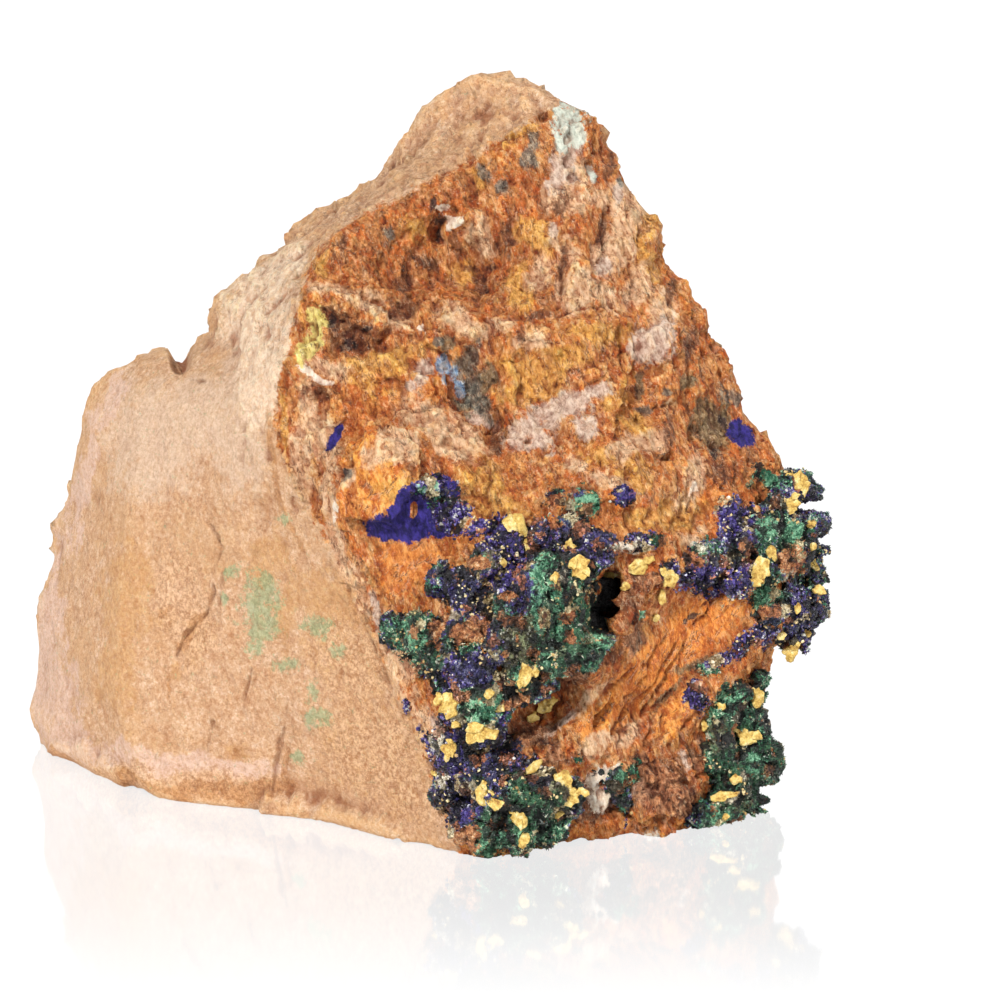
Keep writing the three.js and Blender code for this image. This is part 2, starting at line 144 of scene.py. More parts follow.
# ---------------------------------------------------------------- meshes


def coordinates(piece):
    co = np.empty(len(piece.data.vertices) * 3, np.float32)
    piece.data.vertices.foreach_get("co", co)
    return co.reshape(-1, 3).astype(float)


def set_coordinates(piece, co):
    piece.data.vertices.foreach_set("co", co.astype(np.float32).ravel())
    piece.data.update()


def above_ground(co):
    co[..., 2] = np.maximum(co[..., 2], 0)
    return co


def outward(piece):
    normals = np.empty(len(piece.data.vertices) * 3, np.float32)
    piece.data.vertex_normals.foreach_get("vector", normals)
    return normals.reshape(-1, 3).astype(float)


def sculpt(piece, depth):
    """Moves every vertex out along its normal, or in where the depth is below zero."""
    set_coordinates(piece, coordinates(piece) + outward(piece) * depth[:, None])


def neighbour_mean(piece, values, rounds):
    """Values on the vertices, averaged with their neighbours so many times."""
    edges = np.empty(len(piece.data.edges) * 2, np.int32)
    piece.data.edges.foreach_get("vertices", edges)
    a, b = edges.reshape(-1, 2).T
    count = np.bincount(edges, minlength=len(values)).astype(float)
    for _ in range(rounds):
        columns = np.atleast_2d(values.T)
        sums = [np.bincount(a, c[b], len(c)) + np.bincount(b, c[a], len(c)) for c in columns]
        values = (np.stack(sums) / count).T.reshape(values.shape)
    return values


def keep(piece, name, values):
    """Stores a number on each vertex, for the piece's material."""
    attribute = piece.data.attributes.new(name, "FLOAT", "POINT")
    attribute.data.foreach_set("value", values.astype(np.float32))


def kept(piece, name):
    values = np.empty(len(piece.data.vertices), np.float32)
    piece.data.attributes[name].data.foreach_get("value", values)
    return values.astype(float)


def keep_hollows(piece, rounds, depth):
    """Stores how far each vertex stands out of the ground around it, from -1 in a hollow to 1 on a ridge."""
    co = coordinates(piece)
    out = ((co - neighbour_mean(piece, co, rounds)) * outward(piece)).sum(1)
    keep(piece, "hollow", np.clip(out / depth, -1, 1))


def only(*pieces):
    """Selects these pieces and nothing else."""
    bpy.ops.object.select_all(action="DESELECT")
    bpy.context.view_layer.objects.active = pieces[0]
    for piece in pieces:
        piece.select_set(True)


def modified(piece, kind, **settings):
    only(piece)
    modifier = piece.modifiers.new(kind.lower(), kind)
    for name, value in settings.items():
        setattr(modifier, name, value)
    bpy.ops.object.modifier_apply(modifier=modifier.name)


def copy_of_node(node, name):
    """A piece of its own that starts as a node's shape, with its corners joined."""
    piece = bpy.data.objects.new(name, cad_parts[node].data.copy())
    piece.data.name = name
    bpy.context.scene.collection.objects.link(piece)
    piece.data.materials.clear()
    only(piece)
    bpy.ops.object.mode_set(mode="EDIT")
    bpy.ops.mesh.select_all(action="SELECT")
    bpy.ops.mesh.remove_doubles(threshold=1e-6)
    bpy.ops.mesh.normals_make_consistent(inside=False)
    bpy.ops.object.mode_set(mode="OBJECT")
    return piece


def evened(piece, voxel, rounds):
    """Rebuilds a piece as one skin of even faces, and softens it."""
    modified(piece, "REMESH", mode="VOXEL", voxel_size=voxel)
    modified(piece, "SMOOTH", factor=0.5, iterations=rounds)


def joined_copies(name, corners, faces, at, axes, sizes):
    """One mesh of many copies of a small shape, each at its place, on its axes and at its size."""
    each = np.einsum("nk,ckj->cnj", corners, axes * sizes[:, :, None]) + at[:, None, :]
    co = above_ground(each.reshape(-1, 3))
    starts = range(0, len(co), len(corners))
    mesh = bpy.data.meshes.new(name)
    mesh.from_pydata(co.tolist(), [], [tuple(i + start for i in face) for start in starts for face in faces])
    piece = bpy.data.objects.new(name, mesh)
    bpy.context.scene.collection.objects.link(piece)
    return piece


# ---------------------------------------------------------------- places on the front

# How a patch spreads: how far its rim strays, in pixels, over what size, and how far behind
# the surface it still reaches, as a share of its own size and beyond that.
STRAY = 7
STRAY_SIZE = 3.2 * MM
REACH_BEHIND = 1.6
MORE_BEHIND = 2 * MM
NEARBY = 5  # how many pixels around a place its surface is looked for


def smoothstep(low, high, value):
    t = np.clip((value - low) / (high - low), 0, 1)
    return t * t * (3 - 2 * t)


class Front:
    """The vertices of a piece as the camera sees them, to find the listed patches on it."""

    def __init__(self, piece):
        self.at = coordinates(piece)
        self.across, self.down, self.depth = in_picture(self.at)
        self.facing = -(outward(piece) @ FORWARD)
        self.stray = [STRAY * fractal(self.at, STRAY_SIZE, 3, salt) for salt in (400, 410)]

    def surface_depth(self, across, down):
        near = (abs(self.across - across) < NEARBY) & (abs(self.down - down) < NEARBY) & (self.facing > 0)
        return self.depth[near].min() if near.any() else None

    def patch(self, across, down, half_width, half_height, turn=0, loose=1.0):
        """1 in the middle of a patch, 0 at its rim and below that outside it."""
        turn = math.radians(turn)
        stray = loose * min(1.0, min(half_width, half_height) / 12)
        dx = self.across + self.stray[0] * stray - across
        dy = self.down + self.stray[1] * stray - down
        u = (dx * math.cos(turn) - dy * math.sin(turn)) / half_width
        v = (dx * math.sin(turn) + dy * math.cos(turn)) / half_height
        depth = self.surface_depth(across, down)
        if depth is None:
            return np.full(len(dx), -1.0)
        reach = max(half_width, half_height) * PIXEL * REACH_BEHIND + MORE_BEHIND
        behind = (self.depth - depth) / reach
        return np.maximum(1 - (u * u + v * v + behind**2), -1)

    def patches(self, places, **settings):
        return np.max([self.patch(*place, **settings) for place in places], axis=0)

    def beside(self, line):
        """How far points are from a line drawn in the picture, in metres, and whether they are left of it."""
        best = np.full(len(self.across), np.inf)
        left = np.zeros(len(best), bool)
        for (x0, y0), (x1, y1) in zip(line, line[1:]):
            dx, dy = x1 - x0, y1 - y0
            t = np.clip(((self.across - x0) * dx + (self.down - y0) * dy) / (dx * dx + dy * dy), 0, 1)
            ex, ey = self.across - x0 - t * dx, self.down - y0 - t * dy
            reach = np.hypot(ex, ey)
            closer = reach < best
            left = np.where(closer, ex * dy - ey * dx > 0, left)
            best = np.where(closer, reach, best)
        return best * PIXEL, left

    def nearest(self, lines):
        return np.min([self.beside(line)[0] for line in lines], axis=0)


# ---------------------------------------------------------------- the stone

# A patch is given as across, down, half width, half height and turn. Depths and heights are in mm.

# The line between the tan side and the stained front, from the ground up.
CORNER_LINE = [
    (462, 900), (458, 850), (430, 770), (412, 715), (392, 672), (362, 615), (335, 555), (302, 500),
    (276, 445), (275, 400), (287, 350), (296, 310), (303, 283), (318, 250), (348, 224), (400, 196),
    (455, 168), (500, 140), (535, 118), (556, 108), (575, 60),
]
# Cracks and small steps in the tan side.
SIDE_CRACKS = [
    [(210, 525), (219, 536), (222, 550), (212, 572), (214, 592), (206, 614), (186, 634), (176, 656)],
    [(209, 525), (217, 535), (221, 549)], [(222, 572), (219, 604)],
    [(288, 700), (284, 728), (276, 764), (272, 796)], [(212, 722), (208, 752)], [(252, 668), (244, 700)],
    [(172, 366), (186, 378), (206, 382)], [(338, 556), (352, 600), (372, 640), (386, 676), (404, 720)],
]
# Seams in the front, carved and darkened with painted shade.
FRONT_SEAMS = [
    [(523, 523), (540, 508), (557, 493), (580, 487), (600, 491)], [(640, 415), (655, 408), (672, 402)],
    [(612, 700), (604, 716), (598, 730)], [(640, 690), (626, 712), (612, 736)],
    [(672, 668), (655, 692), (642, 716)], [(330, 318), (352, 326), (380, 342)],
    [(560, 262), (562, 290), (556, 318)], [(604, 210), (606, 240), (600, 262)], [(535, 100), (541, 118)],
    [(640, 770), (652, 790), (650, 812)], [(395, 440), (412, 470), (430, 500)],
    [(486, 406), (494, 432), (510, 458)],
]
# Flutes: where, which way they run in degrees from level, how wide and how deep.
FLUTES = [
    ((590, 250, 80, 110, -10), 100, 2.0, 0.6), ((660, 300, 60, 90, 25), 112, 1.8, 0.6),
    ((455, 280, 95, 55, -10), 78, 1.6, 0.6), ((700, 350, 50, 80, 25), 120, 1.6, 0.6),
    ((370, 520, 60, 80), 95, 1.5, 0.3), ((690, 520, 60, 60), 60, 1.6, 0.4),
]
GROOVED = (655, 668, 112, 72, 38)  # the orange plane, with its grooves up to the right
GROOVES = (48, 1.2, 0.9)  # their slope in degrees, their width and their depth
# Wide hollows that are deeper than the solid's, with their depths.
HOLLOWS = [
    ((430, 255, 80, 40, -8), 3.0), ((500, 262, 50, 50), 1.5), ((476, 380, 26, 46, -22), 1.0),
    ((275, 236, 26, 26, 45), 1.7), ((360, 178, 50, 16, 35), 0.9), ((206, 322, 12, 30), 0.9),
    ((606, 150, 12, 34, -25), 0.9), ((714, 330, 12, 40, -25), 1.0), ((545, 720, 60, 26, 38), 1.0),
    ((600, 245, 14, 50, -6), 1.0), ((650, 390, 14, 50, 10), 0.9), ((715, 425, 24, 34, 10), 1.2),
]
# Pits that are deeper than the solid's, with their depths.
PITS = [
    ((605, 598, 13, 36, -16), 6.0), ((601, 612, 9, 22, -8), 3.0), ((512, 702, 17, 10, 25), 3.2),
    ((492, 428, 8, 22, -10), 1.6), ((667, 457, 8, 7), 1.8), ((540, 110, 7, 16, 10), 1.4),
    ((446, 222, 9, 28, -8), 1.6), ((604, 717, 6, 16, -35), 2.0), ((352, 342, 24, 18, -20), 1.2),
    ((620, 812, 14, 20, 10), 1.4), ((664, 818, 22, 8), 1.0), ((556, 560, 16, 10), 1.6),
    ((712, 440, 22, 26), 1.6),
]
# Lumps and ledges that stand out, with their heights.
KNOBS = [
    ((375, 478, 40, 46, -20), 2.2), ((440, 470, 40, 30, -30), 1.0), ((450, 322, 46, 13, -22), 1.8),
    ((525, 330, 30, 9, -15), 1.2), ((400, 296, 50, 6, -12), 0.8), ((600, 325, 36, 12), 0.7),
    ((660, 345, 18, 28, -15), 1.4), ((585, 285, 26, 36), 1.0), ((470, 235, 20, 30), 1.0),
    ((335, 300, 34, 12, -8), 0.8), ((585, 145, 16, 36, -12), 0.7), ((594, 146, 9, 20, -12), 0.6),
    ((625, 610, 18, 26, -30), 1.4), ((660, 790, 26, 30, -10), 1.3), ((688, 762, 12, 18), 0.9),
    ((700, 690, 16, 60, -52), 0.9), ((430, 425, 48, 20, 15), 0.8), ((478, 490, 34, 30), 0.7),
    ((640, 480, 60, 30, 10), 0.7), ((90, 770, 60, 24, -25), 0.9), ((340, 822, 90, 18, -12), 1.4),
    ((655, 230, 14, 44, -20), 1.0), ((465, 78, 26, 8), 0.8), ((648, 775, 10, 12), 1.3),
    ((672, 800, 12, 14), 1.3), ((638, 805, 9, 12), 1.0), ((690, 785, 9, 14), 1.0),
    ((604, 788, 17, 26, -22), 0.9), ((530, 738, 14, 10, 20), 0.9),
]
# Where the stone has broken into blocks.
BLOCKS = [
    (662, 795, 36, 36), (545, 742, 42, 24, 20), (690, 770, 20, 20), (352, 338, 24, 20),
]
# Parts of the outline that stand elsewhere, from front to back: where, and how far right and up.
SHIFTS = [
    ((180, 352, 12, 22), 0, -2.2), ((46, 548, 20, 26), 0.7, 0), ((105, 375, 22, 22), -0.6, 0.5),
    ((40, 738, 36, 44), -1.2, -0.6), ((84, 430, 34, 70), -1.0, 0), ((32, 650, 26, 60), 0.5, 0),
    ((300, 215, 22, 20), 0.3, -1.1), ((232, 808, 110, 22), 0, -0.9),
]

# What the front is stained with, and its painted shadow and highlight: two colours, how strong a coat is, how
# soft its edge is, and its patches.
# The grooved plane and the brightest places have coats of their own.
PLANE = ((216, 118, 38), (246, 164, 78), 0.95, 0.4, [
    (412, 558, 36, 20), (396, 584, 16, 14), (702, 620, 46, 22, 25), (664, 660, 40, 26, 45),
    (632, 692, 38, 24, 45), (602, 724, 24, 16, 35), (736, 606, 16, 12), (690, 650, 20, 12, 20),
])
BRIGHT = ((226, 134, 42), (250, 184, 98), 0.9, 0.4, [
    (378, 486, 28, 32, -15), (366, 450, 22, 16, -35), (680, 706, 15, 28, -35), (664, 728, 18, 12, 40),
])
# The other coats, each laid over those before it.
COATS = {
    "rust": ((142, 84, 40), (208, 138, 80), 0.9, 1.0, [
        (382, 250, 60, 36, 12), (400, 214, 46, 22, 20), (352, 262, 30, 24, -50), (430, 215, 16, 30),
        (405, 275, 40, 26, -35), (474, 290, 44, 24, -15), (500, 252, 22, 34), (526, 190, 34, 24),
        (470, 186, 50, 14, 25), (348, 238, 14, 26, -25), (540, 312, 30, 14), (552, 212, 12, 14, 30),
        (601, 240, 9, 34, -8), (598, 276, 12, 12), (583, 228, 9, 16), (606, 165, 8, 24, -20),
        (700, 336, 18, 44, -25), (722, 465, 22, 28), (602, 352, 32, 9), (690, 410, 16, 8),
        (495, 442, 10, 24, -10), (560, 706, 40, 14, 35), (610, 655, 16, 18), (660, 785, 26, 30),
        (590, 815, 24, 16), (748, 458, 22, 16),
    ]),
    "orange": ((198, 112, 42), (240, 162, 86), 0.85, 0.9, [
        (356, 398, 32, 26), (338, 488, 10, 18), (714, 500, 20, 32), (410, 558, 40, 22, -4),
        (400, 585, 16, 13), (622, 225, 8, 14), (665, 262, 10, 14), (430, 396, 26, 10, -20),
        (425, 690, 12, 22, 10), (470, 845, 12, 12), (565, 505, 10, 10), (540, 515, 12, 9),
        (590, 830, 34, 6, 8), (680, 822, 26, 6, 15), (460, 535, 22, 8), (345, 515, 16, 24),
        (750, 655, 30, 8, 20), (690, 590, 26, 12, 40), (640, 530, 16, 8), (620, 505, 14, 12),
    ]),
    "flame": ((166, 76, 24), (210, 112, 44), 0.95, 0.4, [
        (412, 556, 38, 20, -4), (398, 586, 18, 14), (425, 690, 10, 18, 10),
    ]),
    "ochre": ((194, 127, 48), (243, 185, 100), 0.85, 1.0, [
        (536, 372, 36, 24), (565, 352, 24, 12), (520, 388, 24, 14), (618, 400, 19, 12, 20),
        (386, 360, 40, 12, 5), (366, 378, 24, 11, -20), (398, 488, 16, 14), (480, 482, 28, 20),
        (502, 508, 32, 10), (632, 424, 16, 10), (602, 452, 26, 12), (662, 516, 42, 14, 5),
        (640, 470, 20, 14), (462, 272, 20, 14, -30), (520, 288, 16, 22), (536, 236, 26, 14),
        (515, 130, 20, 14), (478, 180, 9, 14), (646, 225, 14, 38, -15), (652, 268, 18, 20),
        (604, 335, 40, 13), (410, 230, 14, 12), (320, 262, 14, 12, 30), (299, 300, 4, 40, 8),
        (283, 425, 4, 34, 6), (690, 505, 22, 12),
    ]),
    # Pale peach: partly the stone's own pale colour, partly a painted highlight on ledges and knobs.
    "peach_and_painted_highlight": ((216, 162, 116), (248, 212, 174), 0.85, 1.0, [
        (342, 290, 42, 7, -8), (368, 306, 26, 7, -20), (398, 320, 18, 9, -20), (328, 364, 32, 9, -25),
        (452, 318, 22, 15, -30), (478, 332, 18, 12), (502, 322, 18, 8), (480, 236, 13, 24),
        (540, 272, 14, 22), (582, 290, 24, 24, -20), (565, 254, 13, 18), (602, 300, 28, 12, -25),
        (590, 200, 30, 12, 20), (621, 196, 10, 24, -15), (574, 172, 18, 22), (432, 420, 40, 18, -20),
        (402, 440, 20, 13, -30), (378, 446, 12, 20, -40), (462, 442, 34, 14, -25), (345, 480, 12, 7, 45),
        (532, 340, 20, 9), (650, 440, 24, 13), (692, 480, 13, 28, -15), (576, 466, 16, 8),
        (625, 450, 18, 10), (335, 545, 14, 30, 15), (392, 655, 16, 50, 22), (430, 740, 8, 50, 15),
        (355, 590, 16, 30, 20), (600, 745, 20, 10, 30), (590, 700, 24, 8, 40), (625, 735, 18, 8, 50),
        (300, 480, 10, 50, 10), (316, 440, 18, 38, 10), (304, 398, 12, 24), (326, 505, 9, 34, 5),
        (545, 735, 20, 10, 35), (625, 228, 16, 46, -20), (640, 285, 14, 30, -20), (664, 308, 16, 26, -25),
        (555, 195, 14, 18), (600, 255, 12, 22, -10), (690, 540, 16, 12), (610, 480, 20, 8),
    ]),
    "lilac": ((178, 146, 128), (232, 212, 194), 0.85, 0.8, [
        (655, 342, 18, 32, -20), (560, 408, 38, 17, 15), (530, 434, 30, 17, 10), (590, 394, 26, 9, 25),
        (590, 428, 14, 14), (560, 170, 13, 24), (603, 264, 7, 12), (425, 376, 9, 16), (410, 388, 8, 6),
        (575, 150, 12, 14), (618, 190, 5, 16, -10), (552, 232, 7, 10), (686, 764, 12, 16),
        (645, 790, 10, 12, 20), (560, 725, 26, 6, 45), (440, 738, 6, 32, 18), (375, 612, 5, 20),
        (700, 547, 7, 7), (700, 688, 9, 6), (480, 420, 18, 8, -20),
    ]),
    "brown": ((78, 40, 22), (140, 84, 52), 0.85, 0.8, [
        (352, 336, 26, 20, -20), (336, 318, 12, 13), (322, 395, 20, 8, -25), (370, 336, 10, 12),
        (422, 262, 24, 6, -35), (403, 283, 8, 18, 15), (404, 306, 11, 16, -20), (482, 284, 8, 14),
        (484, 269, 24, 4), (456, 245, 5, 16), (541, 106, 6, 14, 5), (560, 206, 7, 10),
        (559, 272, 4, 30, -10), (600, 232, 5, 18, -8), (610, 166, 6, 20, -20), (540, 316, 12, 6),
        (524, 336, 4, 12), (690, 340, 8, 26, -20), (496, 438, 7, 20, -8), (668, 430, 6, 22),
        (722, 468, 14, 20), (508, 240, 5, 22), (672, 290, 5, 20, -10), (346, 240, 4, 14, -20),
        (630, 602, 13, 30, -30), (560, 682, 38, 12, 15), (522, 732, 22, 20), (545, 745, 20, 8),
        (590, 790, 11, 26, -30), (690, 800, 15, 24), (588, 812, 16, 8), (610, 652, 14, 14),
        (635, 642, 5, 14, -20), (560, 828, 20, 5, 5), (815, 540, 6, 44), (480, 562, 16, 8),
        (590, 548, 30, 5, -5), (775, 640, 14, 12),
    ]),
    "olive": ((74, 66, 46), (140, 124, 92), 0.85, 0.8, [
        (714, 428, 22, 26), (641, 386, 6, 18, -10), (690, 382, 11, 10), (476, 400, 20, 18, -20),
        (487, 386, 9, 22, -10), (667, 695, 4, 26, -38), (705, 662, 34, 5, 18), (446, 346, 7, 11),
    ]),
    "umber": ((78, 42, 22), (190, 130, 92), 0.9, 0.5, [
        (662, 790, 26, 32), (690, 800, 16, 28), (640, 768, 16, 12, 30), (530, 736, 24, 16, 20),
        (562, 758, 22, 10, 30), (580, 806, 9, 18, -20), (505, 742, 14, 14), (700, 756, 14, 18),
        (636, 640, 9, 20, -30), (585, 672, 22, 8, 30), (655, 585, 14, 10),
    ]),
    "slate": ((54, 58, 54), (116, 118, 110), 0.85, 0.9, [
        (466, 366, 13, 24, -20), (474, 390, 14, 18, -25), (485, 408, 10, 16, 20), (730, 398, 14, 9, -40),
        (486, 172, 8, 13), (502, 188, 7, 9), (530, 150, 8, 20), (642, 410, 10, 5), (345, 476, 10, 6, 30),
        (390, 232, 6, 6), (438, 342, 6, 6), (669, 392, 6, 5), (620, 183, 4, 8),
    ]),
    "mint": ((196, 206, 190), (230, 236, 222), 0.95, 0.35, [
        (568, 120, 21, 26), (562, 140, 12, 12), (580, 132, 10, 14), (592, 172, 5, 10),
    ]),
    "white": ((240, 216, 188), (254, 244, 228), 0.95, 0.4, [
        (306, 370, 14, 4, -25), (322, 380, 12, 4, -15), (422, 330, 6, 6), (455, 222, 8, 9),
        (443, 207, 9, 4, -10), (334, 516, 5, 16, -10), (690, 487, 7, 8), (601, 784, 15, 26, -24),
        (612, 802, 12, 16), (628, 548, 16, 4, -15), (651, 833, 8, 6), (484, 632, 9, 4, 20),
        (440, 724, 4, 4), (600, 655, 5, 8), (697, 545, 6, 6),
    ]),
    "sulphur": ((216, 192, 100), (248, 232, 146), 0.95, 0.3, [
        (315, 328, 9, 20, -15), (312, 345, 14, 11), (305, 356, 9, 12), (320, 320, 8, 8),
    ]),
    "sky": ((84, 128, 176), (192, 216, 232), 0.95, 0.5, [
        (442, 366, 9, 8), (451, 376, 7, 9, -20), (460, 388, 6, 8),
    ]),
    # Near black in the pits and cracks: painted shadow.
    "painted_pit_shadow": ((14, 9, 12), (62, 42, 46), 0.9, 0.6, [
        (433, 205, 4, 14, -15), (443, 220, 8, 8), (440, 240, 5, 10), (663, 456, 6, 5), (350, 345, 9, 8),
        (333, 322, 6, 10), (366, 330, 6, 4), (344, 473, 6, 4, 25), (716, 450, 6, 8), (722, 422, 4, 9, 20),
        (545, 744, 7, 4), (605, 717, 5, 13, -35), (604, 602, 7, 30, -14), (516, 701, 18, 8, 25),
        (568, 545, 14, 6), (690, 618, 14, 3, 35), (635, 620, 4, 8, -20), (363, 432, 3, 3),
    ]),
}
# The thin azurite film, and the chip in it.
FILM = ((22, 16, 74), (60, 48, 140), 1.0, 0.15, [
    (406, 526, 40, 17, 4), (418, 516, 27, 23), (428, 512, 22, 24), (408, 500, 12, 16, -20),
    (396, 514, 14, 10, 40), (384, 528, 20, 13), (334, 438, 5, 17, -28), (440, 494, 18, 18),
    (625, 493, 9, 10, 20), (438, 592, 15, 6, 10), (742, 434, 17, 13, -35), (440, 530, 14, 10),
])
CHIP_IN_FILM = (414, 510, 4, 8)
# What the tan side is stained with, and where it is painted lighter.
SIDE_COATS = {
    "fair": ((206, 172, 144), (236, 208, 182), 0.7, 1.4, [
        (258, 340, 36, 70, -10), (240, 430, 30, 70), (270, 270, 24, 30), (200, 420, 60, 40),
        (290, 262, 20, 12), (330, 520, 14, 40, 20), (150, 440, 50, 60),
    ]),
    "rosy": ((214, 172, 150), (240, 212, 198), 0.6, 0.9, [
        (48, 640, 14, 120, -6), (86, 480, 10, 90, -12), (70, 745, 50, 20, -20), (135, 757, 50, 15, -10),
        (232, 768, 60, 11, -3), (60, 700, 24, 40), (112, 395, 12, 30, -30), (180, 760, 40, 10),
    ]),
    "side_ochre": ((190, 130, 74), (216, 168, 108), 0.55, 0.9, [
        (125, 590, 28, 50), (120, 670, 22, 50), (165, 620, 14, 14), (200, 640, 14, 30, -30),
        (240, 750, 12, 10), (270, 560, 20, 34, -20), (290, 605, 16, 40, -15), (352, 650, 40, 60, 20),
        (370, 745, 54, 50), (330, 600, 24, 34), (175, 672, 8, 8), (410, 790, 36, 34),
    ]),
    "sandy": ((168, 113, 72), (242, 200, 160), 0.7, 1.0, [
        (372, 745, 56, 60), (352, 665, 36, 50, 20), (414, 792, 30, 34), (130, 776, 70, 16, -10),
        (225, 785, 70, 14, -4), (200, 640, 20, 34, -30), (178, 600, 26, 50),
    ]),
    # Paler tan high on the side: partly its own colour, partly painted light where that side is brighter.
    "pale_tan_and_painted_light": ((240, 200, 162), (255, 232, 204), 0.85, 1.2, [
        (256, 300, 40, 60, -15), (262, 370, 26, 60, -8), (240, 262, 36, 24, 20), (290, 262, 30, 16, 30),
    ]),
    "side_brown": ((150, 94, 50), (204, 146, 92), 0.7, 0.7, [
        (215, 791, 84, 9, -4), (130, 778, 22, 7, -15), (60, 756, 20, 5, -25), (270, 790, 30, 10),
        (190, 632, 6, 26, -40), (275, 470, 3, 60, 8), (299, 540, 3, 34, 30), (168, 685, 3, 16),
        (160, 612, 6, 4), (238, 752, 6, 5), (284, 770, 3, 26, -12), (350, 600, 3, 30, 20),
    ]),
    "malachite_film": ((96, 146, 100), (160, 190, 146), 0.6, 1.0, [
        (232, 573, 11, 6), (262, 588, 14, 14), (262, 612, 22, 26), (256, 640, 10, 18), (283, 518, 5, 8),
        (290, 662, 15, 9), (312, 692, 6, 12), (316, 718, 14, 12), (224, 598, 4, 7), (318, 628, 14, 9),
        (296, 755, 7, 9), (338, 650, 8, 10),
    ]),
}
# Where the minerals are thick enough to be rough, on the stone and on its crusts alike.
AZURITE = [
    (505, 540, 22, 26), (510, 580, 30, 34), (470, 590, 26, 24), (450, 512, 22, 24), (430, 492, 20, 14),
    (468, 672, 30, 20), (476, 760, 42, 34), (460, 795, 26, 30), (500, 765, 24, 34), (738, 520, 24, 22),
    (716, 580, 36, 18), (758, 638, 26, 20, 30), (800, 620, 18, 26), (700, 575, 30, 12, 20),
    (590, 545, 30, 16), (625, 494, 12, 12), (640, 540, 22, 12), (700, 700, 10, 14), (670, 572, 14, 14),
    (480, 620, 12, 26), (545, 535, 20, 14), (535, 770, 12, 14), (627, 806, 4, 22), (440, 740, 14, 20),
    (800, 500, 16, 16), (480, 527, 22, 9), (734, 600, 16, 10), (555, 500, 10, 8), (408, 708, 6, 8),
    (720, 660, 22, 6, 18), (692, 692, 6, 20, -42),
]
MALACHITE = [
    (555, 610, 42, 62), (585, 620, 20, 50), (412, 640, 22, 26), (584, 508, 16, 18), (508, 682, 26, 14),
    (478, 706, 16, 22), (492, 836, 24, 22), (535, 820, 26, 36), (520, 790, 20, 20), (768, 527, 18, 14),
    (797, 535, 16, 16), (768, 598, 20, 18), (764, 480, 16, 12), (745, 760, 36, 70), (725, 720, 18, 40),
    (628, 776, 13, 14), (626, 800, 6, 20), (641, 615, 6, 6), (595, 640, 14, 16, 30), (438, 500, 13, 10),
    (475, 565, 18, 10), (708, 668, 14, 7), (560, 500, 12, 10), (470, 640, 20, 12), (760, 700, 16, 24),
    (660, 540, 12, 8), (578, 760, 7, 5), (460, 780, 10, 10),
]
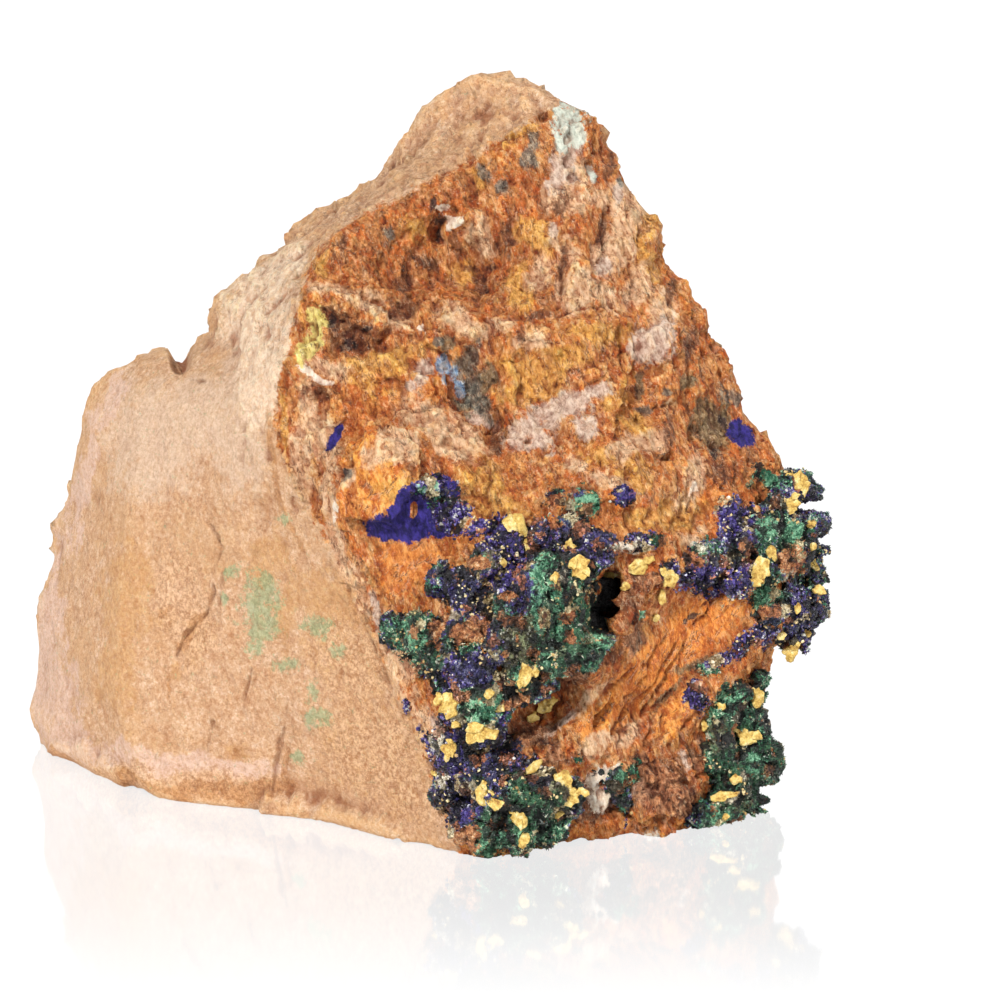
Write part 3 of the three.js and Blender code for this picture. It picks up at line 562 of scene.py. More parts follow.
# Their shades, with painted shadow in the gaps among them, laid over each other on the stone and the crusts,
# in the same form as the coats.
MINERALS = {
    "moss": ((52, 48, 28), (134, 124, 88), 0.8, 0.4, [
        (520, 640, 20, 32), (480, 560, 20, 13), (415, 608, 14, 8), (508, 660, 9, 14), (718, 735, 12, 20),
        (785, 505, 18, 9), (730, 500, 14, 9), (745, 800, 20, 12, 20), (745, 480, 10, 12), (700, 745, 8, 30),
        (560, 790, 18, 30), (640, 560, 14, 14),
    ]),
    "deep_green": ((10, 28, 18), (54, 98, 66), 0.9, 0.4, [
        (565, 640, 36, 40), (585, 610, 16, 44), (495, 605, 10, 14), (432, 658, 16, 12, 20),
        (530, 815, 30, 34), (490, 832, 26, 20), (740, 770, 30, 44), (772, 755, 16, 14), (740, 728, 20, 10),
        (772, 600, 20, 12), (480, 787, 14, 8), (524, 785, 14, 14), (716, 822, 16, 12), (560, 805, 14, 16),
        (660, 542, 10, 9),
    ]),
    "navy": ((10, 9, 22), (52, 50, 96), 0.9, 0.4, [
        (470, 585, 22, 20), (478, 672, 28, 18), (500, 770, 12, 18), (455, 735, 22, 12), (480, 760, 26, 22),
        (462, 802, 22, 26), (545, 775, 18, 12, 20), (575, 520, 14, 16), (797, 628, 18, 14),
        (812, 608, 12, 14), (770, 622, 16, 14), (716, 582, 16, 12), (610, 530, 26, 12, 10),
        (545, 530, 12, 12), (800, 512, 12, 8),
    ]),
    "violet": ((24, 16, 62), (84, 70, 146), 0.9, 0.35, [
        (520, 575, 20, 38, 12), (440, 592, 15, 7, 20), (472, 525, 24, 10), (505, 530, 9, 14),
        (490, 642, 9, 10), (735, 520, 18, 24, 10), (738, 575, 16, 12), (700, 570, 20, 9), (682, 590, 12, 9),
        (625, 494, 10, 11), (455, 772, 10, 12), (592, 675, 7, 6), (418, 494, 12, 14), (800, 610, 10, 10),
        (447, 610, 9, 20, 15), (575, 500, 10, 10, 20), (470, 812, 16, 8), (460, 732, 10, 6),
    ]),
    "teal": ((34, 96, 68), (148, 206, 164), 0.85, 0.4, [
        (406, 626, 16, 12), (414, 644, 12, 8), (541, 580, 7, 28), (537, 615, 8, 24), (598, 640, 11, 15, 30),
        (516, 684, 15, 8), (484, 712, 15, 17), (478, 556, 8, 6), (588, 508, 11, 12), (545, 655, 9, 12),
        (428, 490, 9, 6), (796, 530, 14, 13), (765, 527, 15, 12), (768, 590, 15, 9), (738, 700, 15, 13),
        (618, 772, 9, 15), (725, 815, 12, 12), (766, 480, 9, 8), (758, 765, 11, 11), (485, 842, 14, 12),
        (530, 838, 16, 12), (560, 600, 6, 34), (500, 610, 10, 6), (640, 612, 7, 8),
    ]),
    # Near black in the deep gaps and pits among the crystals: painted shadow.
    "painted_gap_shadow": ((5, 4, 5), (24, 20, 22), 0.95, 0.35, [
        (447, 585, 4, 28), (606, 606, 11, 38, 8), (516, 700, 22, 8, 20), (566, 582, 4, 34),
        (592, 575, 7, 24), (566, 552, 28, 5, -5), (456, 624, 6, 14, -30), (472, 745, 12, 16),
        (752, 690, 12, 12), (812, 562, 6, 22), (503, 812, 5, 22), (737, 482, 7, 14), (781, 520, 5, 12),
        (705, 788, 9, 9), (728, 740, 16, 8), (700, 768, 6, 16), (772, 662, 12, 8, 30), (640, 552, 20, 4),
        (500, 745, 14, 8), (770, 715, 8, 16), (540, 552, 8, 4), (508, 690, 10, 5, 20),
    ]),
    "earthy": ((118, 56, 26), (222, 146, 92), 0.95, 0.35, [
        (472, 631, 19, 10, 15), (484, 624, 6, 14, -30), (434, 634, 5, 22, 15), (508, 597, 11, 4),
        (555, 524, 11, 6), (430, 603, 8, 6), (795, 562, 13, 14), (745, 545, 9, 8), (764, 612, 22, 6, 10),
        (766, 655, 26, 8, 25), (500, 678, 8, 6, 40), (775, 468, 12, 8), (463, 840, 12, 16),
        (692, 560, 14, 9), (565, 617, 7, 8), (640, 572, 18, 8, 20), (555, 505, 12, 8), (600, 520, 10, 8),
        (620, 548, 14, 6), (715, 610, 30, 12, 30),
    ]),
    "pale": ((150, 136, 110), (240, 232, 208), 0.9, 0.3, [
        (449, 702, 9, 7), (459, 718, 7, 7), (790, 574, 9, 9), (562, 574, 6, 9), (472, 784, 9, 5, -30),
        (566, 813, 9, 4), (441, 780, 6, 10), (494, 656, 5, 6), (700, 546, 6, 6), (625, 546, 16, 3, 10),
        (702, 725, 5, 12, 20), (738, 794, 14, 6, 25), (705, 688, 8, 5), (745, 775, 7, 6), (436, 738, 7, 14),
    ]),
}
MOUND = (552, 608, 44, 74)  # the malachite mound, in columns that hang down
MOUTH = [(616, 598, 26, 46, -18)]  # the deep hole beside it
# Lumps of the crusts that stand further right or left.
NUDGES = [
    ((815, 512, 14, 26), 1.4), ((826, 565, 10, 24), -1.0), ((776, 695, 18, 16), -2.6),
    ((764, 795, 14, 26), -1.8), ((776, 756, 12, 12), 0.8), ((600, 610, 14, 44, -10), -1.2),
    ((812, 648, 14, 16), -1.0), ((730, 822, 20, 12), 0.5),
]
# Where stone shows through the crusts.
BARE = [
    (472, 632, 20, 13, 20), (508, 596, 12, 5), (512, 701, 16, 10, 20), (465, 842, 13, 18),
    (440, 625, 6, 22, -25), (475, 562, 18, 9), (503, 656, 6, 5), (424, 606, 10, 7), (752, 662, 30, 9, 20),
    (720, 622, 34, 20, 30), (790, 562, 14, 16), (690, 785, 8, 30),
]

STONE_VOXEL = 0.99 * MM
SMOOTHINGS = 5
CRACK_REACH, DEEP_CRACK_REACH = 2.4 * MM, 1.2 * MM  # how far the finer mesh goes beside the side's cracks
CHIP_GRAIN = (108, 1.7)  # how the front's chips lean, in degrees from level, and are drawn out
SEAM_WIDTH = 0.45 * MM
SIDE_FADE = 4 * MM


def where_stone_is(stone):
    """The stone as seen, how far each vertex is inside the tan side, and its share of unseen back."""
    front = Front(stone)
    reach, left = front.beside(CORNER_LINE)
    signed = np.where(left, reach, -reach)
    back = smoothstep(-0.1, 0.35, outward(stone)[:, 1]) * smoothstep(-5 * MM, 12 * MM, front.at[:, 1])
    return front, signed, back


def wander(front):
    """How far cracks and seams stray from their lines."""
    return 0.35 * MM * fractal(front.at, 2.2 * MM, 3, 80)


def grooves(front):
    """How deep each place is in the grooves of the orange plane, from 0 to 1."""
    degrees, width, _ = GROOVES
    bent = warped(front.at, 0.5 * MM, 2.5 * MM, 2, 140)
    lines = abs(noise(along_grain(bent, degrees, 6), width * MM, 150))
    lines += 0.3 * smoothstep(-0.1, 0.3, noise(along_grain(bent, degrees, 2), 3 * MM, 151))
    return smoothstep(-0.1, 0.3, front.patch(*GROOVED)) * (1 - smoothstep(0, 0.3, lines))


def chip_relief(front, at, signed, back):
    """Chips of four sizes in the front and the back, and a little of them in the tan side."""
    tan = smoothstep(-0.3 * MM, 0.3 * MM, signed)
    broken, tan = (1 - tan) * (1 - back) + back, tan * (1 - back)
    slanted = along_grain(at, *CHIP_GRAIN)
    broad, broad_flat = chips(slanted, 12 * MM, 5)
    large, large_flat = chips(slanted, 5.5 * MM, 10)
    small, small_flat = chips(slanted, 2.6 * MM, 20)
    tiny, tiny_flat = chips(at, 1.3 * MM, 30)
    fluted = smoothstep(-0.3, 0.5, front.patches([place for place, *_ in FLUTES]))
    planar = smoothstep(-0.2, 0.3, front.patch(*GROOVED))
    rim = 0.35 + 0.65 * smoothstep(0.05, 0.5, abs(front.facing))
    rough = broken * (1 - 0.45 * fluted) * (1 - 0.93 * planar)
    depth = rough * (0.5 * broad + 1.3 * broad_flat + 0.45 * large + 1.1 * large_flat)
    depth += rough * rim * (0.28 * small + 0.6 * small_flat - 0.5)
    fine = 0.12 * tiny + 0.34 * tiny_flat + 0.12 * fractal(at, 0.9 * MM, 2, 40)
    depth += broken * rim * (1 - 0.7 * planar) * fine
    cap = smoothstep(60 * MM, 72 * MM, front.at[:, 2])
    depth += tan * (1 + 1.4 * cap) * (0.22 * large_flat + 0.14 * small_flat)
    depth += tan * (0.05 + 0.1 * cap) * fractal(at, 1.4 * MM, 2, 52)
    depth += tan * cap * (1.1 * broad_flat + 0.2 * tiny_flat)
    margin = tan * (1 - smoothstep(2 * MM, 9 * MM, abs(signed)))
    return depth + margin * 0.4 * small_flat


def block_relief(front, at, normals, back):
    """Blocks low in the front, and slabs on the back."""
    block, block_flat = chips(at, 3.4 * MM, 95)
    slab, slab_flat = chips(front.at + 2 * (at - front.at), 22 * MM, 97)
    depth = smoothstep(-0.2, 0.3, front.patches(BLOCKS)) * (0.6 * block + 1.5 * block_flat - 0.4)
    depth += back * 1.2 * fractal(front.at, 14 * MM, 2, 45)
    return depth + smoothstep(0.5, 0.9, normals[:, 1]) * back * (0.8 * slab + 2.6 * slab_flat)


def placed_relief(front, at, ragged):
    """The flutes, grooves, hollows, pits and knobs, each at its place."""
    depth = -GROOVES[2] * grooves(front)
    for place, degrees, width, height in FLUTES:
        ridges = 1 - 2 * abs(noise(along_grain(at, degrees, 5), width * MM, 60))
        ridges += 0.5 * noise(along_grain(at, degrees, 4), width * 0.5 * MM, 61)
        depth += smoothstep(-0.2, 0.5, front.patch(*place)) * height * ridges
    for place, deep in HOLLOWS:
        depth -= deep * smoothstep(-0.3, 0.9, front.patch(*place))
    for place, deep in PITS:
        depth -= deep * smoothstep(0, 0.6, front.patch(*place) + ragged)
    for place, high in KNOBS:
        depth += high * smoothstep(0.05, 0.35, front.patch(*place) + ragged)
    return depth


def crack_relief(front):
    """The cracks and seams, with a low step to the left of the side's first crack."""
    astray = wander(front) + 0.1 * MM
    reach, left = front.beside(SIDE_CRACKS[0])
    depth = -0.2 * left * (1 - smoothstep(0, 3 * MM, reach))
    for lines, width, deep in (SIDE_CRACKS, 0.3, 0.4), (FRONT_SEAMS, 0.5, 0.8):
        for line in lines:
            depth -= deep * (1 - smoothstep(0, width * MM, front.beside(line)[0] + astray))
    return depth * (front.facing > 0)


def mineral_relief(front, ragged):
    """Grains where the minerals are thick on the stone."""
    crust = np.maximum(front.patches(AZURITE), front.patches(MALACHITE))
    rough = smoothstep(-0.1, 0.4, crust + ragged) * (1 - smoothstep(0, 0.3, front.patches(BARE) + ragged))
    scoop, flat = chips(front.at, 1.3 * MM, 85)
    return rough * (0.9 - 0.9 * scoop + 0.3 * flat + 0.4 * noise(front.at, 3 * MM, 86))


def carve_stone(stone):
    """Breaks the faces up, moves parts of the outline and sets the foot flat on the ground."""
    front, signed, back = where_stone_is(stone)
    at = warped(front.at, 1.0 * MM, 3.5 * MM, 3, 90)
    ragged = 0.35 * fractal(front.at, 2.5 * MM, 2, 70)
    depth = chip_relief(front, at, signed, back) + block_relief(front, at, outward(stone), back)
    depth += placed_relief(front, at, ragged) + crack_relief(front) + mineral_relief(front, ragged)
    sculpt(stone, depth * MM)
    co = coordinates(stone)
    for (across, down, half_width, half_height), along, up in SHIFTS:
        off = np.hypot((front.across - across) / half_width, (front.down - down) / half_height)
        co += np.outer(1 - smoothstep(0.5, 1.1, off), along * RIGHTWARD + up * UPWARD) * MM
    set_coordinates(stone, above_ground(co))


def paint_stone(stone):
    """Stores where each coat lies, so that the material can lay it with a broken edge."""
    front, signed, back = where_stone_is(stone)
    keep(stone, "side", np.clip(signed / SIDE_FADE, -1, 1))
    keep(stone, "behind", back)
    for name, (*_, places) in (COATS | SIDE_COATS).items():
        keep(stone, name, front.patches(places, loose=1.3))
    film = 1.6 * front.patches(FILM[-1], loose=0.35)
    keep(stone, "azurite_film", np.minimum(film, -2 * front.patch(*CHIP_IN_FILM, loose=0.3)))
    keep(stone, "plane", front.patches(PLANE[-1]))
    keep(stone, "bright", front.patches(BRIGHT[-1]))
    paint_minerals(stone, front)
    keep(stone, "groove", grooves(front))
    lines = front.nearest(SIDE_CRACKS + FRONT_SEAMS) + wander(front)
    keep(stone, "seam", np.where(front.facing > 0, 1 - lines / SEAM_WIDTH, -1).clip(-1, 1))
    keep_hollows(stone, 9, 0.55 * MM)


def paint_minerals(piece, front):
    """Stores where the minerals lie, and each of their shades."""
    lies = {"azurite": AZURITE, "malachite": MALACHITE, "bare": BARE, "mouth": MOUTH}
    lies |= {name: places for name, (*_, places) in MINERALS.items()}
    for name, places in lies.items():
        keep(piece, name, front.patches(places))


def subdivide_where(piece, chosen):
    """Cuts the faces of the chosen vertices in four."""
    only(piece)
    bpy.ops.object.mode_set(mode="EDIT")
    bpy.ops.mesh.select_mode(type="FACE")
    bpy.ops.mesh.select_all(action="DESELECT")
    bpy.ops.object.mode_set(mode="OBJECT")
    for polygon in piece.data.polygons:
        polygon.select = all(chosen[i] for i in polygon.vertices)
    bpy.ops.object.mode_set(mode="EDIT")
    bpy.ops.mesh.subdivide(number_cuts=1, smoothness=0)
    bpy.ops.object.mode_set(mode="OBJECT")


def beside_cracks(front, reach):
    return (front.nearest(SIDE_CRACKS) < reach) & (front.facing > 0)


def make_stone():
    stone = copy_of_node("matrix_rock", "stone")
    evened(stone, STONE_VOXEL, SMOOTHINGS)
    front, signed, back = where_stone_is(stone)
    stained = (signed < 1.5 * MM) & (back < 0.3) & (front.facing > -0.1)
    subdivide_where(stone, stained | beside_cracks(front, CRACK_REACH))
    subdivide_where(stone, beside_cracks(Front(stone), DEEP_CRACK_REACH))
    carve_stone(stone)
    paint_stone(stone)
    stone.data.shade_smooth()
    return stone


# ---------------------------------------------------------------- the crusts

CRUSTS = {
    "front_crust": "front_druse", "right_crust": "right_druse", "right_cluster": "lower_druse",
    "malachite_tuft": "tuft_druse",
}
CRUST_VOXEL = 0.36 * MM
CRUST_SMOOTHINGS = 6
SEAT_DEPTH = 1.3 * MM
MOUTH_DEPTH = 10 * MM


def surface(piece):
    piece.data.calc_loop_triangles()
    triangles = np.empty(len(piece.data.loop_triangles) * 3, np.int32)
    piece.data.loop_triangles.foreach_get("vertices", triangles)
    return coordinates(piece), triangles.reshape(-1, 3)


def tree_of(*pieces):
    corners, faces, start = [], [], 0
    for piece in pieces:
        co, triangles = surface(piece)
        corners += co.tolist()
        faces += (triangles + start).tolist()
        start += len(co)
    return BVHTree.FromPolygons(corners, faces)


def seat(crust, stone_tree):
    """Sinks the crust's underside into the stone, where it faces it."""
    seated = coordinates(crust)
    for i, out in enumerate(outward(crust)):
        _, normal, _, reach = stone_tree.find_nearest(seated[i])
        sunk = (1 - smoothstep(0.5 * MM, 1.6 * MM, np.float64(reach))) * SEAT_DEPTH
        seated[i] -= np.array(normal) * sunk * np.clip(0.4 - out @ np.array(normal), 0, 1)
    set_coordinates(crust, seated)


def grain_crust(crust):
    """Lumps and grains of three sizes, and the mound's hanging columns."""
    co = coordinates(crust)
    hanging = along_grain(co, 88, 2.2)
    large, large_flat = chips(co, 3.4 * MM, 100)
    small, small_flat = chips(hanging, 1.3 * MM, 110)
    fine, fine_flat = chips(co, 0.8 * MM, 120)
    depth = 0.5 - 1.3 * large + 0.8 * large_flat - 0.5 * small + 0.7 * small_flat - 0.2 * fine
    depth += 0.35 * fine_flat + 0.7 * fractal(hanging, 3.0 * MM, 2, 130)
    columns = 1 - 2.2 * abs(noise(along_grain(co, 86, 4), 2.2 * MM, 135))
    depth += 0.9 * columns * smoothstep(0, 0.5, Front(crust).patch(*MOUND))
    sculpt(crust, depth * MM)


def nudge_crust(crust):
    """Moves lumps sideways, and opens the deep hole."""
    front = Front(crust)
    co = coordinates(crust)
    for place, along in NUDGES:
        co += np.outer(smoothstep(-0.2, 0.5, front.patch(*place)) * along * MM, RIGHTWARD)
    co += np.outer(smoothstep(0.0, 0.4, front.patches(MOUTH, loose=0.6)) * MOUTH_DEPTH, FORWARD)
    set_coordinates(crust, above_ground(co))


def make_crust(node, name, stone_tree):
    """A crust as one rough mass: a node's lumps run together, seated in the stone and covered in grains."""
    crust = copy_of_node(node, name)
    evened(crust, CRUST_VOXEL, CRUST_SMOOTHINGS)
    seat(crust, stone_tree)
    grain_crust(crust)
    nudge_crust(crust)
    paint_minerals(crust, Front(crust))
    keep_hollows(crust, 12, 0.6 * MM)
    crust.data.shade_smooth()
    return crust


# ---------------------------------------------------------------- crystals

SHADES = ["azurite", "malachite", *MINERALS]
MOST_TRIANGLES = 190000  # in one piece


def random_places(piece, per_square_mm, rng, wanted):
    """Random places on a piece, more where they are wanted, with the ways out and the minerals' shades."""
    co, triangles = surface(piece)
    a, b, c = (co[triangles[:, k]] for k in range(3))
    area = np.linalg.norm(np.cross(b - a, c - a), axis=1) / 2
    weight = area * np.clip(wanted[triangles].mean(1), 0, 1)
    count = int(weight.sum() / MM**2 * per_square_mm)
    if count == 0:
        return np.zeros((0, 3)), np.zeros((0, 3)), np.zeros((0, len(SHADES)))
    chosen = rng.choice(len(triangles), count, p=weight / weight.sum())
    u, v = rng.random((2, count))
    flip = u + v > 1
    u, v = np.where(flip, 1 - u, u), np.where(flip, 1 - v, v)
    at = a[chosen] + u[:, None] * (b - a)[chosen] + v[:, None] * (c - a)[chosen]
    near = triangles[chosen, 0]
    return at, outward(piece)[near], np.stack([kept(piece, name)[near] for name in SHADES], 1)


def tilted_axes(ways, spread, rng):
    """Axes for each copy: the third leans from its way out by chance, and the others turn about it."""
    third = ways + spread * rng.normal(size=ways.shape)
    third /= np.linalg.norm(third, axis=1, keepdims=True)
    first = np.cross(third, rng.normal(size=ways.shape))
    first /= np.linalg.norm(first, axis=1, keepdims=True)
    return np.stack([first, np.cross(third, first), third], 1)


def blade():
    """A stout crystal with four sides and a chisel top, one unit wide."""
    ring = [(-0.5, -0.34), (0.46, -0.4), (0.52, 0.36), (-0.44, 0.42)]
    corners = [(x, y, -0.5) for x, y in ring] + [(0.9 * x, 0.9 * y, 0.3) for x, y in ring]
    corners += [(-0.2, 0, 0.6), (0.22, 0.02, 0.66)]
    faces = [(3, 2, 1, 0)] + [(i, (i + 1) % 4, (i + 1) % 4 + 4, i + 4) for i in range(4)]
    faces += [(4, 5, 9, 8), (5, 6, 9), (6, 7, 8, 9), (7, 4, 8)]
    return np.array(corners), faces


def needle():
    """A slim four-sided spike."""
    corners = [(0.5, 0, -0.4), (0, 0.5, -0.4), (-0.5, 0, -0.4), (0, -0.5, -0.4), (0.1, 0.05, 1.0)]
    return np.array(corners), [(3, 2, 1, 0), (0, 1, 4), (1, 2, 4), (2, 3, 4), (3, 0, 4)]


def crumb():
    """A small chipped plate with a few corners."""
    ring = [(0.5, 0.05), (0.22, 0.44), (-0.3, 0.4), (-0.52, -0.1), (-0.1, -0.5), (0.36, -0.34)]
    corners = [(x, y, -0.3) for x, y in ring] + [(0.8 * x, 0.8 * y, 0.3) for x, y in ring] + [(0.05, 0, 0.4)]
    faces = [(i, (i + 1) % 6, (i + 1) % 6 + 6, i + 6) for i in range(6)] + [(5, 4, 3, 2, 1, 0)]
    faces += [(i + 6, (i + 1) % 6 + 6, 12) for i in range(6)]
    return np.array(corners), faces


def grow(name, shape, sources, per_square_mm, spread, size, seed):
    """Crystals all over the parts of some pieces where they are wished for."""
    rng = np.random.default_rng(seed)
    found = [random_places(piece, per_square_mm, rng, wanted) for piece, wanted in sources]
    at, ways, shades = (np.concatenate(parts) for parts in zip(*found))
    sizes = np.minimum(rng.lognormal(0, 0.3, len(at)), 1.7)[:, None] * np.array(size) * MM
    corners, faces = shape
    axes = tilted_axes(ways, spread, rng)
    tints = rng.random(len(at))
    pieces = []
    per_piece = MOST_TRIANGLES // sum(len(face) - 2 for face in faces)
    for i, start in enumerate(range(0, len(at), per_piece)):
        part = slice(start, start + per_piece)
        piece = joined_copies(f"{name}_{i + 1}", corners, faces, at[part], axes[part], sizes[part])
        for shade, values in zip(["tint", *SHADES], [tints, *shades.T]):
            keep(piece, shade, np.repeat(values[part], len(corners)))
        piece.data.shade_flat()
        pieces.append(piece)
    return pieces


# Cream flakes, each as across, down, its length and width in the picture and its turn.
FLAKES = [
    (521, 533, 21, 34, 12), (569, 545, 12, 13, 0), (504, 563, 8, 12, 0), (580, 571, 20, 30, 0),
    (554, 578, 9, 14, 0), (637, 567, 25, 15, 20), (611, 577, 15, 8, 0), (625, 586, 10, 8, 30),
    (661, 597, 10, 17, 0), (668, 578, 17, 19, 0), (524, 674, 17, 25, -20), (490, 693, 9, 10, 0),
    (452, 706, 22, 24, 0), (500, 707, 11, 17, 0), (543, 706, 14, 20, -40), (533, 718, 12, 10, 30),
    (484, 735, 32, 18, 5), (449, 750, 13, 16, 30), (457, 724, 10, 9, 0), (483, 792, 16, 26, 10),
    (495, 802, 18, 12, -20), (563, 784, 22, 26, 0), (570, 797, 22, 16, 0), (531, 767, 26, 9, 35),
    (519, 822, 14, 24, 10), (524, 838, 10, 16, 0), (560, 814, 11, 9, 0), (797, 484, 28, 30, 0),
    (792, 502, 20, 18, 20), (760, 570, 22, 26, 10), (771, 552, 11, 16, 0), (814, 566, 10, 13, 0),
    (811, 524, 9, 9, 0), (818, 592, 14, 10, -40), (797, 608, 7, 12, 0), (781, 634, 10, 9, 0),
    (791, 648, 20, 16, 35), (806, 634, 10, 8, 30), (813, 547, 7, 9, 0), (757, 697, 14, 28, 0),
    (704, 726, 9, 10, 0), (746, 738, 22, 18, 0), (720, 707, 12, 8, -30), (738, 781, 12, 10, 0),
    (724, 796, 24, 11, 15), (726, 818, 8, 8, 0), (437, 774, 8, 8, 0), (655, 617, 8, 7, 0),
]
PLATE_CORNERS = 11
PLATE_SQUARENESS = 16
LEAN_TO_VIEW = 1.3  # how much a flake turns from its ground to the front
IN_PARTS = 12  # a flake wider than this, in pixels, is made of parts
PARTS = 3


def jagged(around, rng):
    """The radius of a jagged outline, for each bearing."""
    steps = np.arange(PLATE_CORNERS) + rng.uniform(-0.35, 0.35, PLATE_CORNERS)
    bearings = steps * math.tau / PLATE_CORNERS
    radii = rng.uniform(0.5, 1.1, PLATE_CORNERS)
    corners = np.stack([np.cos(bearings), np.sin(bearings)], 1) * radii[:, None]
    way_x, way_y = np.cos(around), np.sin(around)
    edge = np.zeros(len(around))
    for a, b in zip(corners, np.roll(corners, -1, axis=0)):
        side = b - a
        inside = (a[0] * way_y - a[1] * way_x >= 0) & (way_x * b[1] - way_y * b[0] >= 0)
        across = way_x * side[1] - way_y * side[0]
        reach = (a[0] * side[1] - a[1] * side[0]) / np.where(across == 0, 1, across)
        edge = np.where(inside & (reach > 0), reach, edge)
    return edge


def chipped_plate(rng):
    """A thin plate a unit in radius, with a broken outline and crisp edges."""
    bpy.ops.mesh.primitive_ico_sphere_add(subdivisions=4, radius=1)
    plate = bpy.context.object
    co = coordinates(plate)
    flat, tall = np.hypot(co[:, 0], co[:, 1]), abs(co[:, 2])
    co *= ((flat**PLATE_SQUARENESS + tall**PLATE_SQUARENESS) ** (-1 / PLATE_SQUARENESS))[:, None]
    co[:, :2] *= jagged(np.arctan2(co[:, 1], co[:, 0]), rng)[:, None]
    set_coordinates(plate, co)
    return plate


def flake_parts(spot, normal, width, height, turn, rng):
    """The chipped plates of one flake, side by side and over each other."""
    lean = np.array(normal) - LEAN_TO_VIEW * FORWARD
    lean /= np.linalg.norm(lean)
    angle = math.radians(turn)
    side = RIGHTWARD * math.cos(angle) + UPWARD * math.sin(angle)
    side -= lean * (side @ lean)
    side /= np.linalg.norm(side)
    up = np.cross(lean, side)
    size = np.array([width, height]) * PIXEL
    for part in range(PARTS if min(width, height) > IN_PARTS else 1):
        half = size / 1.8 * (1 if part == 0 else rng.uniform(0.35, 0.6))
        plate = chipped_plate(rng)
        drift = rng.uniform(-0.5, 0.5, 2) * size * (part > 0)
        tilted = lean + (0.35 if part else 0.1) * rng.normal(size=3)
        axes = np.stack([side * half[0], up * half[1], tilted * (0.28 * MM + 0.05 * half.min())])
        at = np.array(spot) + side * drift[0] + up * drift[1] + lean * (0.5 + 0.25 * part) * MM
        set_coordinates(plate, coordinates(plate) @ axes + at)
        yield plate


def make_flakes(tree):
    """Cream flakes: small chipped plates that lie on the crusts."""
    rng = np.random.default_rng(5)
    made = []
    for across, down, width, height, turn in FLAKES:
        spot, normal, _, _ = tree.ray_cast(*ray_through(across, down))
        if spot is not None:
            made += flake_parts(spot, normal, width, height, turn, rng)
    only(*made)
    bpy.ops.object.join()
    flakes = bpy.context.object
    flakes.name = flakes.data.name = "cream_flakes"
    set_coordinates(flakes, warped(coordinates(flakes), 0.15 * MM, 2.0 * MM, 2, 205, 3))
    co = coordinates(flakes)
    scoop, flat = chips(co, 1.5 * MM, 210)
    sculpt(flakes, MM * (0.1 * scoop + 0.14 * flat + 0.07 * noise(co, 0.5 * MM, 215)))
    keep_hollows(flakes, 4, 0.2 * MM)
    only(flakes)
    bpy.ops.object.shade_smooth_by_angle(angle=math.radians(38))
    return flakes


# ---------------------------------------------------------------- materials

STEEP = (-72, 2.2)  # how the front's grain leans and is drawn out
STEEP_CREASES = (-72, 4.0)
GROOVE_CREASES = (48, 5.5)
CRYSTAL_GRAIN = (-88, 2.6)


def colour(red, green, blue):
    """A colour as it looks in daylight, for a shader."""
    shares = (v / 255 for v in (red, green, blue))
    return (*(v / 12.92 if v <= 10 / 255 else ((v + 0.055) / 1.055) ** 2.4 for v in shares), 1)


